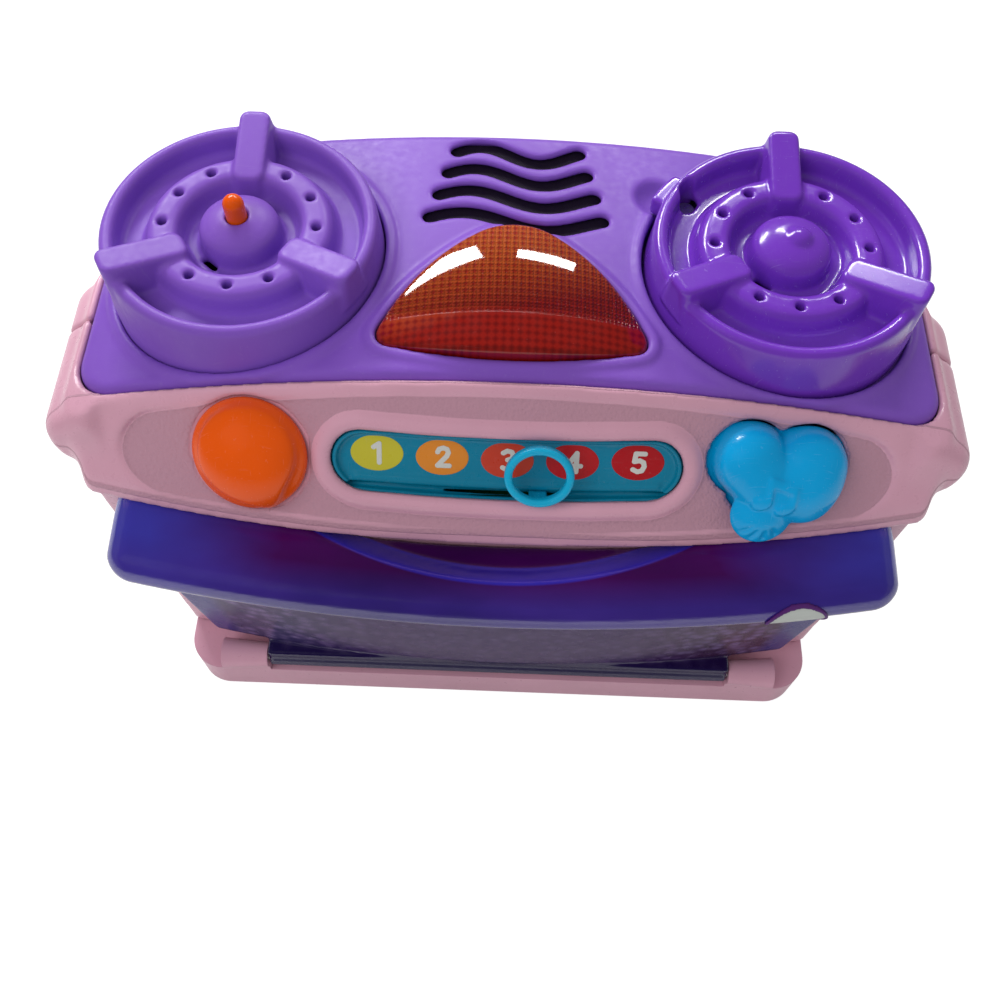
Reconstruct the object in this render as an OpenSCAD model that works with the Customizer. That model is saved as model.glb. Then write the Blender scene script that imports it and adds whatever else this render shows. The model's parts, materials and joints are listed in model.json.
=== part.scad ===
// Toy oven with two hob burners, a lit window, a number slider and a drop-down door.
// X runs to the right of the person playing, Y runs away from them and Z runs up from the floor.

/* [Body] */
// Half of the body's width at the floor
base_half = 128; // [120:1:134]
// Half of the body's width under the cooktop
shoulder_half = 132; // [128:1:136]
// How far the sides swell between floor and cooktop
side_swell = 7; // [3:0.5:9]
// Y of the fascia's lower lip at the middle
lip_y = -58; // [-62:1:-56]
// Y of the back at the floor
back_y = 82; // [78:1:90]
// Radius of the front's bow in plan
bow_r = 636; // [560:1:760]
// Corner radius of the body at the front
front_round = 24; // [16:1:30]
// Corner radius of the body at the back
back_round = 32; // [20:1:34]
// Height of the cooktop's crest
crest_z = 185; // [183:1:190]
// Drop of the crowned cooktop 120 mm out from its middle
crown_drop = 14; // [10:1:16]
// Wall of the moulded shells
wall = 2.6; // [2:0.1:3.2]
// Y of the seam between front and rear shell
seam_y = 6; // [0:1:12]
// Height of the seam between base and shells
base_top = 20; // [18:0.5:21]

/* [Grips] */
// How far each side grip stands out past the shoulder
grip_out = 15.5; // [10:0.5:16]
// Y of the grip's middle
grip_y = -4; // [-8:1:0]
// Half of the grip's length
grip_half = 30; // [24:1:34]
// Height of the grip's outermost line
grip_z = 153; // [150:1:155]

/* [Cooktop] */
// Half of the cooktop's width
top_half = 131; // [128:0.5:131]
// Y of the cooktop's front edge
top_front = -24; // [-24:0.5:-22]
// Y of the cooktop's back edge
top_back = 75; // [72:1:76]
// Depth of the cooktop's skirt
skirt = 9; // [7:0.5:11]
// Moulded thickness of the cooktop
top_wall = 2.4; // [2:0.1:3]

/* [Burners] */
// X of each burner's centre from the middle
burner_x = 84.1; // [82:0.1:85]
// Y of both burner centres
burner_y = 22; // [20:0.5:24]
// Height of the burners' flat ring
burner_z = 195; // [193:0.5:197]
// Radius of the burner's drum at its foot
drum_r = 43.6; // [42.8:0.1:44]
// Radius of the circle of small holes
hole_circle_r = 23.5; // [22:0.5:25]
// Diameter of one small hole
hole_d = 3; // [2:0.1:4]
// Depth of the burner's grooves
groove = 7; // [5:0.5:7.5]
// Width of a pot rest at its top
rest_w = 9.5; // [8:0.5:12]
// Height of a pot rest above the ring
rest_h = 5; // [4:0.5:6]
// Radius of the hub's dome
hub_r = 12.2; // [11:0.2:13]
// Height of the hub's dome above the ring
hub_h = 3.5; // [2.5:0.5:4.5]

/* [Window and grille] */
// Rise of the amber lens above the crest
lens_rise = 7.5; // [5:0.5:9]
// Slots in the speaker grille
grille_slots = 4; // [3:1:5]
// Distance between slots
grille_pitch = 9.6; // [8.5:0.1:10]
// Width of a slot
grille_w = 4.2; // [3:0.1:5]
// Y of the frontmost slot
grille_y = 37; // [36:0.5:39]

/* [Fascia] */
// Tilt of the fascia's normal above level
fascia_tilt = 38; // [34:1:42]
// Height of the fascia's lower lip
lip_z = 143; // [141:0.5:145]
// Distance of knob and slider line down the slope from the crest
control_s = 27.3; // [25:0.1:29]
// Half length of the number slot
slot_half = 53.4; // [50:0.2:56]
// Half height of the number slot
slot_h = 9.6; // [8.6:0.1:10.4]
// X of the knob
knob_x = -78.5; // [-82:0.5:-76]
// Diameter of the knob
knob_d = 36; // [32:1:38]
// X of the hat button
hat_x = 81.5; // [79:0.5:85]
// Travel of the hat button
hat_travel = 2.5; // [1.5:0.1:3]
// Rest place of the slider ring
ring_x = 10.4; // [0:0.2:12]
// Outer diameter of the slider ring
ring_d = 20; // [18:0.5:21]

/* [Door] */
// Y of the hinge axis
hinge_y = -56; // [-57:0.2:-55.6]
// Height of the hinge axis
hinge_z = 27; // [26.6:0.2:28]
// Radius of the door's hinge rod
rod_r = 4; // [3.5:0.1:4.5]
// Half length of the hinge rod
rod_half = 93.4; // [85:0.2:93.4]
// Radius of the hinge pins
pin_r = 2; // [1.5:0.1:2.4]
// Y of the handle bar's nose at the middle
nose_y = -82; // [-84:0.5:-79]
// Half width of the door's handle bar
bar_half = 127; // [122:0.5:127]
// Height of the door's top edge
door_top = 139; // [137:0.5:139.5]
// Moulded thickness of the door
door_wall = 2.5; // [2:0.1:3]

/* [Oven] */
// Width between the oven's mouth and the body's side at the floor
mouth_side = 24; // [23:0.5:30]
// Height of the oven's floor
mouth_z0 = 42; // [40:1:46]
// Height of the oven's ceiling
mouth_z1 = 120; // [112:1:121]
// Y of the oven's back wall
oven_back = 58; // [40:1:60]

/* [Battery case] */
// Diameter of one cell
cell_d = 14.5; // [14:0.1:14.5]
// Length of one cell
cell_l = 50.5; // [49.5:0.1:50.5]
// Radius of the cover screw's shank
screw_r = 1.6; // [1.4:0.1:1.8]

/* [Hidden] */
$fn = 96;

seam = 0.2;          // gap between fixed pieces
run = 0.4;           // gap beside pieces that move
fit = 0.06;          // radial gap of a pin in its bore
bead = 1.2;          // height of moulded beads
rim = 4.6;           // width of the fascia's smooth border
pin_reach = 14;      // how far a hinge pin enters the rod

crown_r = (pow(120, 2) + pow(crown_drop, 2)) / (2 * crown_drop);
fascia_r = bow_r / cos(fascia_tilt);
fascia_y = top_front - 1.2;
lip_drop = crest_z - lip_z;
fascia_len = lip_drop / cos(fascia_tilt);
bow_y = lip_y + bow_r;              // Y of the bow's centre
bay_r = bow_r - 6;                  // front wall behind the door
lip_h = 3.6;                        // height of the fascia's lower lip
skirt_floor = skirt + seam;
lens_foot = crest_z - 14;           // lower end of the lens and of its collar
mouth_half = base_half - mouth_side;  // half width of the oven's mouth
board_n = -20;                      // plane of the control board's face, along the fascia's normal

// ---------- profiles and frames ----------

function mix(a, b, t) = a + (b - a) * t;
function arc(c, r, a0, a1, n) = [for (i = [0:n]) c + r * [cos(mix(a0, a1, i / n)), sin(mix(a0, a1, i / n))]];
function side_x(z) = mix(base_half, shoulder_half, z / crest_z) + side_swell * sin(180 * pow(z / crest_z, 2));
function rear_y(z) = back_y - 6 * pow(z / crest_z, 3);
function crown_at(x) = crown_r - sqrt(pow(crown_r, 2) - pow(x, 2));

module rounded_plan(half, y0, y1, rf, rb) {
    translate([-half + rf, y0]) square([2 * (half - rf), rf + 1]);
    translate([-half, y0 + rf]) square([2 * half, y1 - y0 - rf - rb]);
    translate([-half + rb, y1 - rb - 1]) square([2 * (half - rb), rb + 1]);
    for (s = [-1, 1]) {
        translate([s * (half - rf), y0 + rf]) circle(rf);
        translate([s * (half - rb), y1 - rb]) circle(rb);
    }
}

module stadium(half, h) {
    square([2 * (half - h), 2 * h], center = true);
    for (s = [-1, 1]) translate([s * (half - h), 0]) circle(h);
}

// solid under the crowned top, lowered by drop
module under_crown(drop) {
    translate([0, -120, crest_z - crown_r]) rotate([-90, 0, 0]) cylinder(r = crown_r - drop, h = 260, $fn = 360);
}

// fascia frame: x to the right, y up the slope, z outwards, origin at the crest line
module on_fascia() translate([0, fascia_y, crest_z]) rotate([90 - fascia_tilt, 0, 0]) children();

module under_fascia(drop) {
    on_fascia() translate([0, -160, -fascia_r]) rotate([-90, 0, 0]) cylinder(r = fascia_r - drop, h = 320, $fn = 360);
}

// a frame on the fascia's bowed face at x, s down the slope, with z along the face's normal there
module fascia_spot(x, s) {
    on_fascia() translate([0, -s, -fascia_r])
        rotate([0, asin(x / fascia_r), 0]) translate([0, 0, fascia_r]) children();
}

// a frame whose z runs along the player's left-right line through the hinge
module on_hinge() translate([0, hinge_y, hinge_z]) rotate([0, 90, 0]) children();

// upright solid of radius r about the bow's centre
module bow(r, z0, z1) translate([0, bow_y, z0]) cylinder(r = r, h = z1 - z0, $fn = 720);

// outer form of both shells, shrunk by inset
module body_mass(inset) {
    steps = 18;
    intersection() {
        linear_extrude(220) rounded_plan(shoulder_half + 6 - inset, lip_y + inset, back_y - inset, front_round, back_round);
        translate([0, 120, 0]) rotate([90, 0, 0]) linear_extrude(240) polygon(concat(
            [for (i = [0:steps]) [side_x(crest_z * i / steps) - inset, crest_z * i / steps]],
            [for (i = [steps:-1:0]) [inset - side_x(crest_z * i / steps), crest_z * i / steps]]));
        rotate([90, 0, 90]) translate([0, 0, -160]) linear_extrude(320) polygon(concat(
            [[lip_y - 10, 0]], [for (i = [0:steps]) [rear_y(crest_z * i / steps) - inset, crest_z * i / steps]],
            [[lip_y - 10, crest_z]]));
        bow(bow_r - inset, 0, 220);
        under_fascia(inset);
    }
}

// space of the door under the fascia's lip, widened by grow
module door_bay(grow) difference() {
    translate([-150, lip_y - 30, 0]) cube([300, 60, lip_z - lip_h + grow]);
    bow(bay_r - grow, -1, 220);
}

module grip(side, inset) {
    half = grip_half - inset;
    out = shoulder_half + grip_out - inset;
    mirror([side < 0 ? 1 : 0, 0, 0]) intersection() {
        translate([0, grip_y, 0]) linear_extrude(220) polygon(concat([[shoulder_half - 32, -half], [shoulder_half - 4, -half]],
            arc([out - 8, -half + 12], 8, -50, 0, 5), arc([out - 8, half - 12], 8, 0, 50, 5),
            [[shoulder_half - 4, half], [shoulder_half - 32, half]]));
        translate([0, 120, 0]) rotate([90, 0, 0]) linear_extrude(240) polygon(concat(
            [[shoulder_half - 32, grip_z - 28 + inset], [shoulder_half, grip_z - 28 + inset]],
            arc([out - 12, grip_z], 12, -60, 40, 8), [[shoulder_half, grip_z + 16 - inset], [shoulder_half - 32, grip_z + 16 - inset]]));
    }
}

module cooktop_plan(grow) rounded_plan(top_half + grow, top_front - grow, top_back + grow, 13 + grow, 26 + grow);

// both shells as one hollow piece, which each shell module cuts at the seam
module shell_pair() difference() {
    union() {
        difference() {
            body_mass(0);
            door_bay(0);
        }
        for (s = [-1, 1]) grip(s, 0);
    }
    // room inside
    difference() {
        union() {
            intersection() {
                body_mass(wall);
                under_crown(skirt_floor + wall);
            }
            for (s = [-1, 1]) grip(s, wall);
        }
        door_bay(wall);
    }
    // ledge that carries the cooktop's skirt, and the opening inside it with room for the lens's collar
    linear_extrude(220) cooktop_plan(-7);
    translate([0, 0, lens_foot - 4]) linear_extrude(60) polygon(lens_outline(3.5));
    difference() {
        translate([0, 0, 120]) linear_extrude(100) cooktop_plan(seam);
        under_crown(skirt_floor);
    }
    // shoulder just under the crown
    difference() {
        translate([-160, -100, 120]) cube([320, 220, 90]);
        under_crown(0.8);
    }
    translate([-160, -110, -1]) cube([320, 220, base_top + seam + 1]);
}

// ---------- burners ----------

// turned form of a burner above its foot, heights from the flat ring
burner_profile = concat(
    [for (i = [0:6]) [hub_r * sin(15 * i), hub_h - 5 * (1 - cos(15 * i)) * 1.05]],
    [[hub_r + 0.6, -groove + 0.8], [hub_r + 1.6, -groove], [16.6, -groove], [17.6, -groove + 1], [18.5, -1.8],
     [19.3, -0.4], [20.6, 0], [26.2, 0], [27.4, -0.4], [28.2, -1.8], [29, -groove + 1], [30, -groove],
     [36.4, -groove], [37.4, -groove + 1]],
    arc([39.8, -1.4], 1.9, 165, 20, 8), [[drum_r, -16]]);

module burner_solid(foot) translate([0, 0, burner_z]) {
    rotate_extrude() polygon(concat([[0, foot]], burner_profile, [[drum_r, foot]]));
}

module pot_rests() for (a = [90, 210, 330]) translate([0, 0, burner_z]) rotate([0, 0, a]) intersection() {
    rotate([90, 0, 90]) translate([0, 0, 16]) linear_extrude(30) polygon([[-rest_w / 2 - 1.6, -groove - 1],
        [-rest_w / 2 - 1.2, -1], [-rest_w / 2, rest_h], [rest_w / 2, rest_h], [rest_w / 2 + 1.2, -1],
        [rest_w / 2 + 1.6, -groove - 1]]);
    rotate([90, 0, 0]) translate([0, 0, -10]) linear_extrude(20) polygon([[16.8, -groove - 1], [17.4, -1.2],
        [18.6, 0.8], [20.4, 1.5], [40.8, rest_h], [42.2, rest_h - 0.6], [42.8, -groove - 1]]);
}

module ring_holes() for (a = [0, 30, 60, 120, 150, 180, 240, 270, 300])
    rotate([0, 0, a]) translate([hole_circle_r, 0, burner_z - 4]) cylinder(d = hole_d, h = 6, $fn = 24);

// cored underside of a burner: one low ceiling, with the ring and hub cored further up
module burner_core(r) {
    translate([0, 0, burner_z - 40]) cylinder(r = r, h = 40 - groove - top_wall);
    translate([0, 0, burner_z - 20]) difference() {
        cylinder(r = 26.2, h = 20 - top_wall);
        translate([0, 0, -1]) cylinder(r = 20.6, h = 22);
        for (a = [90, 210, 330]) rotate([0, 0, a]) translate([0, -rest_w / 2 - 2, -1]) cube([40, rest_w + 4, 22]);
    }
    translate([0, 0, burner_z - 20]) difference() {
        cylinder(r = hub_r - top_wall, h = 20 - 3.4);
        translate([0, 0, -1]) cylinder(r = 6, h = 22);
    }
}

module bead_ring(r0, r1, z0) intersection() {
    translate([0, 0, z0]) difference() {
        cylinder(r = r1, h = 40);
        translate([0, 0, -1]) cylinder(r = r0, h = 42);
    }
    translate([-100, -100, z0]) cube([200, 200, 40]);
}

// ---------- lens outline: six arcs that run into each other, grown by g ----------

lens_c1 = [0, 12.1];
lens_r1 = 19.6;
lens_side_r = 92.8;
lens_tip_r = 5;
lens_c2 = lens_c1 - (lens_side_r - lens_r1) * [cos(54), sin(54)];
lens_c3 = lens_c2 + (lens_side_r - lens_tip_r) * [cos(26), sin(26)];
lens_base_r = lens_tip_r + lens_c3[0] / cos(76);
lens_c4 = lens_c3 + (lens_base_r - lens_tip_r) * [-cos(76), sin(76)];

function flip_x(points) = [for (i = [len(points) - 1:-1:0]) [-points[i][0], points[i][1]]];
function lens_right(g) = concat(arc(lens_c4, lens_base_r + g, -90, -76.5, 5), arc(lens_c3, lens_tip_r + g, -76, 26, 8),
    arc(lens_c2, lens_side_r + g, 27, 54, 7), arc(lens_c1, lens_r1 + g, 58, 90, 5));
function lens_outline(g) = concat(lens_right(g), flip_x(lens_right(g)));

lens_dome_r = (pow(40, 2) + pow(lens_rise, 2)) / (2 * lens_rise);

module lens_mass(g) intersection() {
    translate([0, 0, lens_foot]) linear_extrude(40) polygon(lens_outline(g));
    translate([0, 5, crest_z + lens_rise + g - lens_dome_r]) sphere(r = lens_dome_r, $fn = 240);
}

// ---------- cooktop ----------

function wave(t) = -3.4 * cos(180 * (0.62 + 2.05 * t));

module grille_slot(i) {
    half = 28.5 - 2.45 * i;
    n = 22;
    y = grille_y + grille_pitch * i;
    side = [for (k = [0:n]) [mix(-half, half, k / n), y + wave(k / n)]];
    translate([0, 0, crest_z - 5]) linear_extrude(10) {
        polygon(concat([for (p = side) p + [0, grille_w / 2]], [for (k = [n:-1:0]) side[k] - [0, grille_w / 2]]));
        for (p = [side[0], side[n]]) translate(p) circle(d = grille_w, $fn = 24);
    }
}

well_floor = burner_z - 20.6;       // face that the battery cover stands on
well_drop = 2.5;                    // depth of the well under the crown, where that is lower than its floor

// all that lies under the well's floor, raised by rise
module well_bed(rise) intersection() {
    under_crown(well_drop - rise);
    translate([0, -100, 0]) cube([160, 200, well_floor + rise]);
}

case_w = 3 * cell_d + 4;            // room for three cells side by side
case_l = cell_l + 4;
cover_screw_at = 37 * [cos(144), sin(144)];
tab_angle = 143;

module case_mouth(h) translate([-case_w / 2, -case_l / 2, 0]) cube([case_w, case_l, h]);

module tab_sector(r, half_angle, h) linear_extrude(h) polygon(concat([[0, 0]],
    arc([0, 0], r, tab_angle - half_angle, tab_angle + half_angle, 8)));

nub_top = crest_z + 21;             // Z of the sensing nub's tip
nub_r = 3.2;
nub_travel = 3;
nub_tube = burner_z - 9.4;          // lower end of the tube that guides the nub
nub_board_z = nub_tube - 18.2;
post_at = 12;

module cooktop() color("mediumpurple") difference() {
    union() {
        // crowned top with its skirt
        difference() {
            intersection() {
                translate([0, 0, 120]) linear_extrude(100) cooktop_plan(0);
                under_crown(0);
            }
            under_crown(skirt);
            intersection() {
                translate([0, 0, 120]) linear_extrude(100) cooktop_plan(-top_wall);
                under_crown(top_wall);
            }
        }
        // left burner with its bead
        translate([-burner_x, burner_y, 0]) burner_solid(-28);
        translate([-burner_x, burner_y, 0]) pot_rests();
        intersection() {
            union() {
                translate([-burner_x, burner_y, 0]) bead_ring(drum_r - 1, drum_r + 3.2, burner_z - 28);
                translate([burner_x, burner_y, 0]) bead_ring(drum_r + 0.7, drum_r + 3.4, burner_z - 29);
            }
            under_crown(-bead);
            translate([0, 0, 120]) linear_extrude(100) cooktop_plan(0);
        }
        // floor of the battery cover's well
        intersection() {
            translate([burner_x, burner_y, well_floor - 20]) cylinder(r = drum_r + 3.4, h = 20);
            linear_extrude(220) cooktop_plan(-0.2);
            difference() {
                under_crown(well_drop);
                intersection() {
                    under_crown(well_drop + top_wall);
                    translate([0, -100, 0]) cube([160, 200, well_floor - top_wall]);
                }
            }
        }
        translate([burner_x, burner_y, well_floor - 12] + [cover_screw_at[0], cover_screw_at[1], 0])
            cylinder(r = 3.6, h = 12, $fn = 48);
        // collar and bead around the lens
        intersection() {
            translate([0, 0, lens_foot]) linear_extrude(40) polygon(lens_outline(3.2));
            under_crown(-bead);
        }
        // tube behind the grille that holds the speaker
        intersection() {
            translate([0, speaker_y, speaker_z - 2.2]) cylinder(r = speaker_r + 2, h = 14);
            under_crown(1);
        }
    }
    // room inside the left burner
    translate([-burner_x, burner_y, 0]) {
        difference() {
            burner_core(drum_r - top_wall - 2);
            translate([0, 0, nub_tube]) cylinder(r = 6, h = 40);
            for (s = [-1, 1]) translate([s * post_at, 0, nub_board_z + 1.6]) cylinder(r = 2.2, h = 40, $fn = 32);
        }
        translate([0, 0, burner_z - 40]) cylinder(r = nub_r + 0.2, h = 60, $fn = 48);
        ring_holes();
    }
    // opening of the battery cover
    translate([burner_x, burner_y, 0]) {
        difference() {
            translate([0, 0, well_floor - 20]) cylinder(r = drum_r + 0.7, h = 60);
            translate([-burner_x, -burner_y, 0]) well_bed(0);
        }
        translate([0, 0, well_floor - 8]) case_mouth(20);
        translate([cover_screw_at[0], cover_screw_at[1], well_floor - 11]) cylinder(r = screw_r + fit, h = 20, $fn = 32);
        translate([0, 0, well_floor + 6.5]) tab_sector(drum_r + 4.4, 9.5, 20);
        rotate([0, 0, tab_angle]) translate([drum_r + 4, 0, well_floor + 13.4]) sphere(r = 9, $fn = 64);
    }
    // room for the ledge that the skirt stands on
    intersection() {
        translate([0, 0, 120]) linear_extrude(100) difference() {
            square(400, center = true);
            cooktop_plan(-7 - seam);
        }
        under_crown(skirt);
    }
    // lens opening
    translate([0, 0, crest_z - 30]) linear_extrude(60) polygon(lens_outline(seam));
    for (i = [0:grille_slots - 1]) grille_slot(i);
    translate([0, speaker_y, speaker_z - 10]) cylinder(r = speaker_r + seam / 2, h = 10 + seam);
    intersection() {
        translate([0, speaker_y, speaker_z - 4]) cylinder(r = speaker_r - 1, h = 20);
        under_crown(top_wall);
    }
}

// ---------- lens, lamp and speaker ----------

module window_lens() color("darkorange", 0.8) difference() {
    lens_mass(0);
    lens_mass(-2.2);
    translate([0, 0, crest_z - 60]) linear_extrude(50) polygon(lens_outline(-2.2));
}

box_z0 = crest_z - 26;

module light_box() color("white") difference() {
    translate([0, 0, box_z0]) linear_extrude(lens_foot - seam - box_z0) polygon(lens_outline(1.6));
    translate([0, 0, box_z0 + 1.6]) linear_extrude(30) polygon(lens_outline(-0.6));
    for (x = [-16, 0, 16]) translate([x, 4, box_z0 - 1]) cylinder(d = 5.2, h = 4, $fn = 32);
}

module led_board() color("seagreen") translate([-24, -7, box_z0 - 1.8]) cube([48, 22, 1.6]);

module leds() color("gold") for (x = [-16, 0, 16]) translate([x, 4, box_z0 - 0.2]) {
    cylinder(d = 5, h = 4.4, $fn = 32);
    translate([0, 0, 4.4]) sphere(d = 5, $fn = 32);
}

speaker_r = 18;
speaker_y = 52.4;
speaker_z = crest_z - 5.4;

module speaker() color("dimgray") translate([0, speaker_y, speaker_z]) rotate_extrude() polygon([
    [0, -14], [9, -14], [9, -8], [14, -5], [17.6, -2], [speaker_r, -2], [speaker_r, 0], [15.4, 0], [14.6, -0.6],
    [6, -3.2], [3, -1.8], [0, -1.2]]);

// ---------- battery cover and case ----------

cover_foot = well_floor - 14 - burner_z;

module battery_cover() color("blueviolet") translate([burner_x, burner_y, 0]) difference() {
    union() {
        difference() {
            burner_solid(cover_foot);
            translate([-burner_x, -burner_y, 0]) well_bed(seam);
        }
        pot_rests();
        // small boss on the hub's dome
        translate([0, 0, burner_z + hub_h - 3.9]) sphere(r = 5, $fn = 48);
        // tab that the screw holds
        translate([0, 0, well_floor + 8]) tab_sector(drum_r + 3.6, 8.5, 6.5);
    }
    difference() {
        burner_core(drum_r - top_wall - 0.4);
        translate([cover_screw_at[0], cover_screw_at[1], well_floor + seam]) cylinder(r = 4.2, h = 30, $fn = 48);
    }
    translate([cover_screw_at[0], cover_screw_at[1], 0]) {
        translate([0, 0, burner_z - 30]) cylinder(r = screw_r + 0.3, h = 40, $fn = 32);
        translate([0, 0, burner_z - 12]) cylinder(r = 3.3, h = 20, $fn = 32);
    }
    ring_holes();
}

module screw(head_r, head_h, length) {
    cylinder(r = head_r, h = head_h, $fn = 32);
    translate([0, 0, -length]) cylinder(r = screw_r, h = length + 0.1, $fn = 32);
}

module cover_screw() color("silver")
    translate([burner_x + cover_screw_at[0], burner_y + cover_screw_at[1], burner_z - 12]) screw(2.9, 2.2, 17.5);

case_depth = cell_d + 4.4;
case_top = well_floor - top_wall - seam;
case_floor = case_top - case_depth;

module battery_case() color("mediumslateblue") difference() {
    intersection() {
        translate([burner_x, burner_y, 0]) {
            translate([-case_w / 2 - 1.8, -case_l / 2 - 1.8, case_floor - 1.8])
                cube([case_w + 3.6, case_l + 3.6, case_depth + 1.8]);
            translate([-case_w / 2 - 1.8, -case_l / 2 - 7, case_top - 2]) cube([case_w + 3.6, case_l + 14, 2]);
        }
        under_crown(well_drop + top_wall + seam);
    }
    translate([burner_x, burner_y, case_floor]) case_mouth(40);
}

cell_z = case_floor + seam + cell_d / 2;

module battery_cells() color("dimgray") for (i = [-1:1]) mirror([0, i == 0 ? 1 : 0, 0])
    translate([burner_x + i * (cell_d + 0.8), (i == 0 ? -burner_y : burner_y) - cell_l / 2 + 1.5, cell_z]) rotate([-90, 0, 0]) {
        cylinder(d = cell_d, h = cell_l - 1.2, $fn = 48);
        translate([0, 0, cell_l - 1.2]) cylinder(d = 5.4, h = 1.2, $fn = 32);
    }

// turns of wire about z, swept as one tube
module coil(r, wire, height, turns) {
    sides = 8;
    steps = 12;
    rings = steps * turns;
    points = [for (i = [0:rings]) let(a = 360 * i / steps, z = wire + (height - 2 * wire) * i / rings)
        for (k = [0:sides - 1]) let(b = 360 * k / sides, q = r + wire * cos(b)) [q * cos(a), q * sin(a), z + wire * sin(b)]];
    polyhedron(points, concat([[for (k = [sides - 1:-1:0]) k]],
        [for (i = [0:rings - 1], k = [0:sides - 1]) let(m = (k + 1) % sides)
            [i * sides + k, i * sides + m, (i + 1) * sides + m, (i + 1) * sides + k]],
        [[for (k = [0:sides - 1]) rings * sides + k]]), convexity = 8);
}

module battery_contacts() color("silver") translate([burner_x, burner_y, cell_z]) for (i = [-1:1]) {
    flip = i == 0 ? -1 : 1;
    translate([i * (cell_d + 0.8), 0, 0]) {
        translate([-5, flip * (-case_l / 2 + 0.2) - 0.2, -5]) cube([10, 0.4, 10]);
        translate([-5, flip * (case_l / 2 - 0.2) - 0.2, -5]) cube([10, 0.4, 10]);
        translate([0, flip * (-case_l / 2 + 0.45), 0]) rotate([-90 * flip, 0, 0]) coil(2.8, 0.35, 3, 2);
    }
}

// ---------- pot sensor ----------

module at_left_burner() translate([-burner_x, burner_y, 0]) children();

module pot_nub() color("darkorange") at_left_burner() {
    translate([0, 0, nub_top - nub_r]) sphere(r = nub_r, $fn = 48);
    translate([0, 0, nub_tube - 2]) cylinder(r = nub_r, h = nub_top - nub_r - nub_tube + 2, $fn = 48);
    translate([0, 0, nub_tube - 2.6]) cylinder(r = 5.8, h = 2.4, $fn = 48);
    translate([0, 0, nub_tube - 9]) cylinder(r = 1.6, h = 7, $fn = 32);
}

spring_h = nub_tube - 2.6 - nub_board_z - 1.6;

module nub_spring() color("silver") at_left_burner() translate([0, 0, nub_board_z + 1.6]) coil(5, 0.4, spring_h, 5);

module nub_switch() color("dimgray") at_left_burner() translate([0, 0, nub_board_z + 1.6]) {
    translate([-3, -3, 0]) cube([6, 6, 3]);
    cylinder(r = 1.7, h = 4, $fn = 32);
}

module nub_board() color("seagreen") at_left_burner() translate([-17, -8, nub_board_z]) cube([34, 16, 1.6]);

// ---------- shells and base ----------

boss_x = base_half - 9;
boss_z = [46, 112];
boss_plan = [[16 - base_half, -36], [base_half - 16, -36], [20 - base_half, 60], [base_half - 20, 60]];

module foot_boss(p) {
    side = p[0] > 0 ? 1 : -1;
    translate([p[0], p[1], base_top + seam]) cylinder(r = 4, h = 16, $fn = 48);
    translate([side > 0 ? p[0] : p[0] - 40, p[1] - 1.2, base_top + seam]) cube([40, 2.4, 16]);
}

module front_shell() color("pink") difference() {
    union() {
        difference() {
            shell_pair();
            fascia_recess();
            on_fascia() translate([0, -control_s, -20]) linear_extrude(40) stadium(slot_half, slot_h);
        }
        // well behind the knob, clear of the cooktop's room
        difference() {
            intersection() {
                fascia_spot(knob_x, control_s) translate([0, 0, -5]) cylinder(r = knob_d / 2 + 3, h = 5);
                under_fascia(2);
            }
            difference() {
                translate([0, 0, 120]) linear_extrude(100) cooktop_plan(seam);
                under_crown(skirt_floor);
            }
        }
        intersection() {
            union() {
                for (p = [boss_plan[0], boss_plan[1]]) foot_boss(p);
                for (s = [-1, 1], z = boss_z) {
                    translate([s * boss_x, seam_y - 16, z]) rotate([-90, 0, 0]) cylinder(r = 4, h = 16 - 0.1, $fn = 48);
                    translate([s > 0 ? boss_x : -boss_x - 40, seam_y - 16, z - 1.2]) cube([40, 16 - 0.1, 2.4]);
                }
            }
            body_mass(1);
        }
        // posts of the control board
        for (x = post_x, s = post_s) intersection() {
            on_fascia() translate([x, -s, board_n]) cylinder(r = 3, h = -board_n, $fn = 32);
            under_fascia(1);
        }
    }
    translate([-160, seam_y - seam / 2, 0]) cube([320, 120, 220]);
    // mouth of the oven
    translate([-mouth_half, -70, mouth_z0]) cube([2 * mouth_half, 60, mouth_z1 - mouth_z0]);
    fascia_spot(knob_x, control_s) {
        translate([0, 0, -2]) cylinder(r = knob_d / 2 + run, h = 20);
        translate([0, 0, -12]) cylinder(r = 3 + fit, h = 20, $fn = 48);
    }
    fascia_spot(hat_x, control_s) translate([0, 0, -20]) linear_extrude(40) hat_plan(0.5);
    for (p = [boss_plan[0], boss_plan[1]]) translate([p[0], p[1], 0]) cylinder(r = screw_r + fit, h = 34, $fn = 32);
    for (s = [-1, 1], z = boss_z)
        translate([s * boss_x, seam_y - 14, z]) rotate([-90, 0, 0]) cylinder(r = screw_r + fit, h = 20, $fn = 32);
    for (x = post_x, s = post_s) on_fascia() translate([x, -s, board_n - 1]) cylinder(r = 1 + fit, h = 8, $fn = 32);
}

// pocket of the textured panel, whose ends are round, leaving the border and the slot's bead
module fascia_recess() {
    panel_half = 120;
    end_r = 13;
    n = 26;
    function ease(x) = abs(x) < panel_half - end_r ? 0 : end_r - sqrt(pow(end_r, 2) - pow(abs(x) - panel_half + end_r, 2));
    function upper(x) = -rim - ease(x) - cos(fascia_tilt) * crown_at(x);
    function lower(x) = rim + ease(x) - fascia_len + sin(fascia_tilt) * pow(x, 2) / (2 * bow_r);
    xs = [for (i = [-n:n]) panel_half * sin(90 * i / n)];
    difference() {
        on_fascia() translate([0, 0, -6]) linear_extrude(12) difference() {
            polygon(concat([for (x = xs) [x, upper(x)]], [for (i = [2 * n - 1:-1:1]) [xs[i], lower(xs[i])]]));
            translate([0, -control_s]) stadium(slot_half + 5, slot_h + 5);
        }
        under_fascia(0.9);
    }
}

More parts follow.
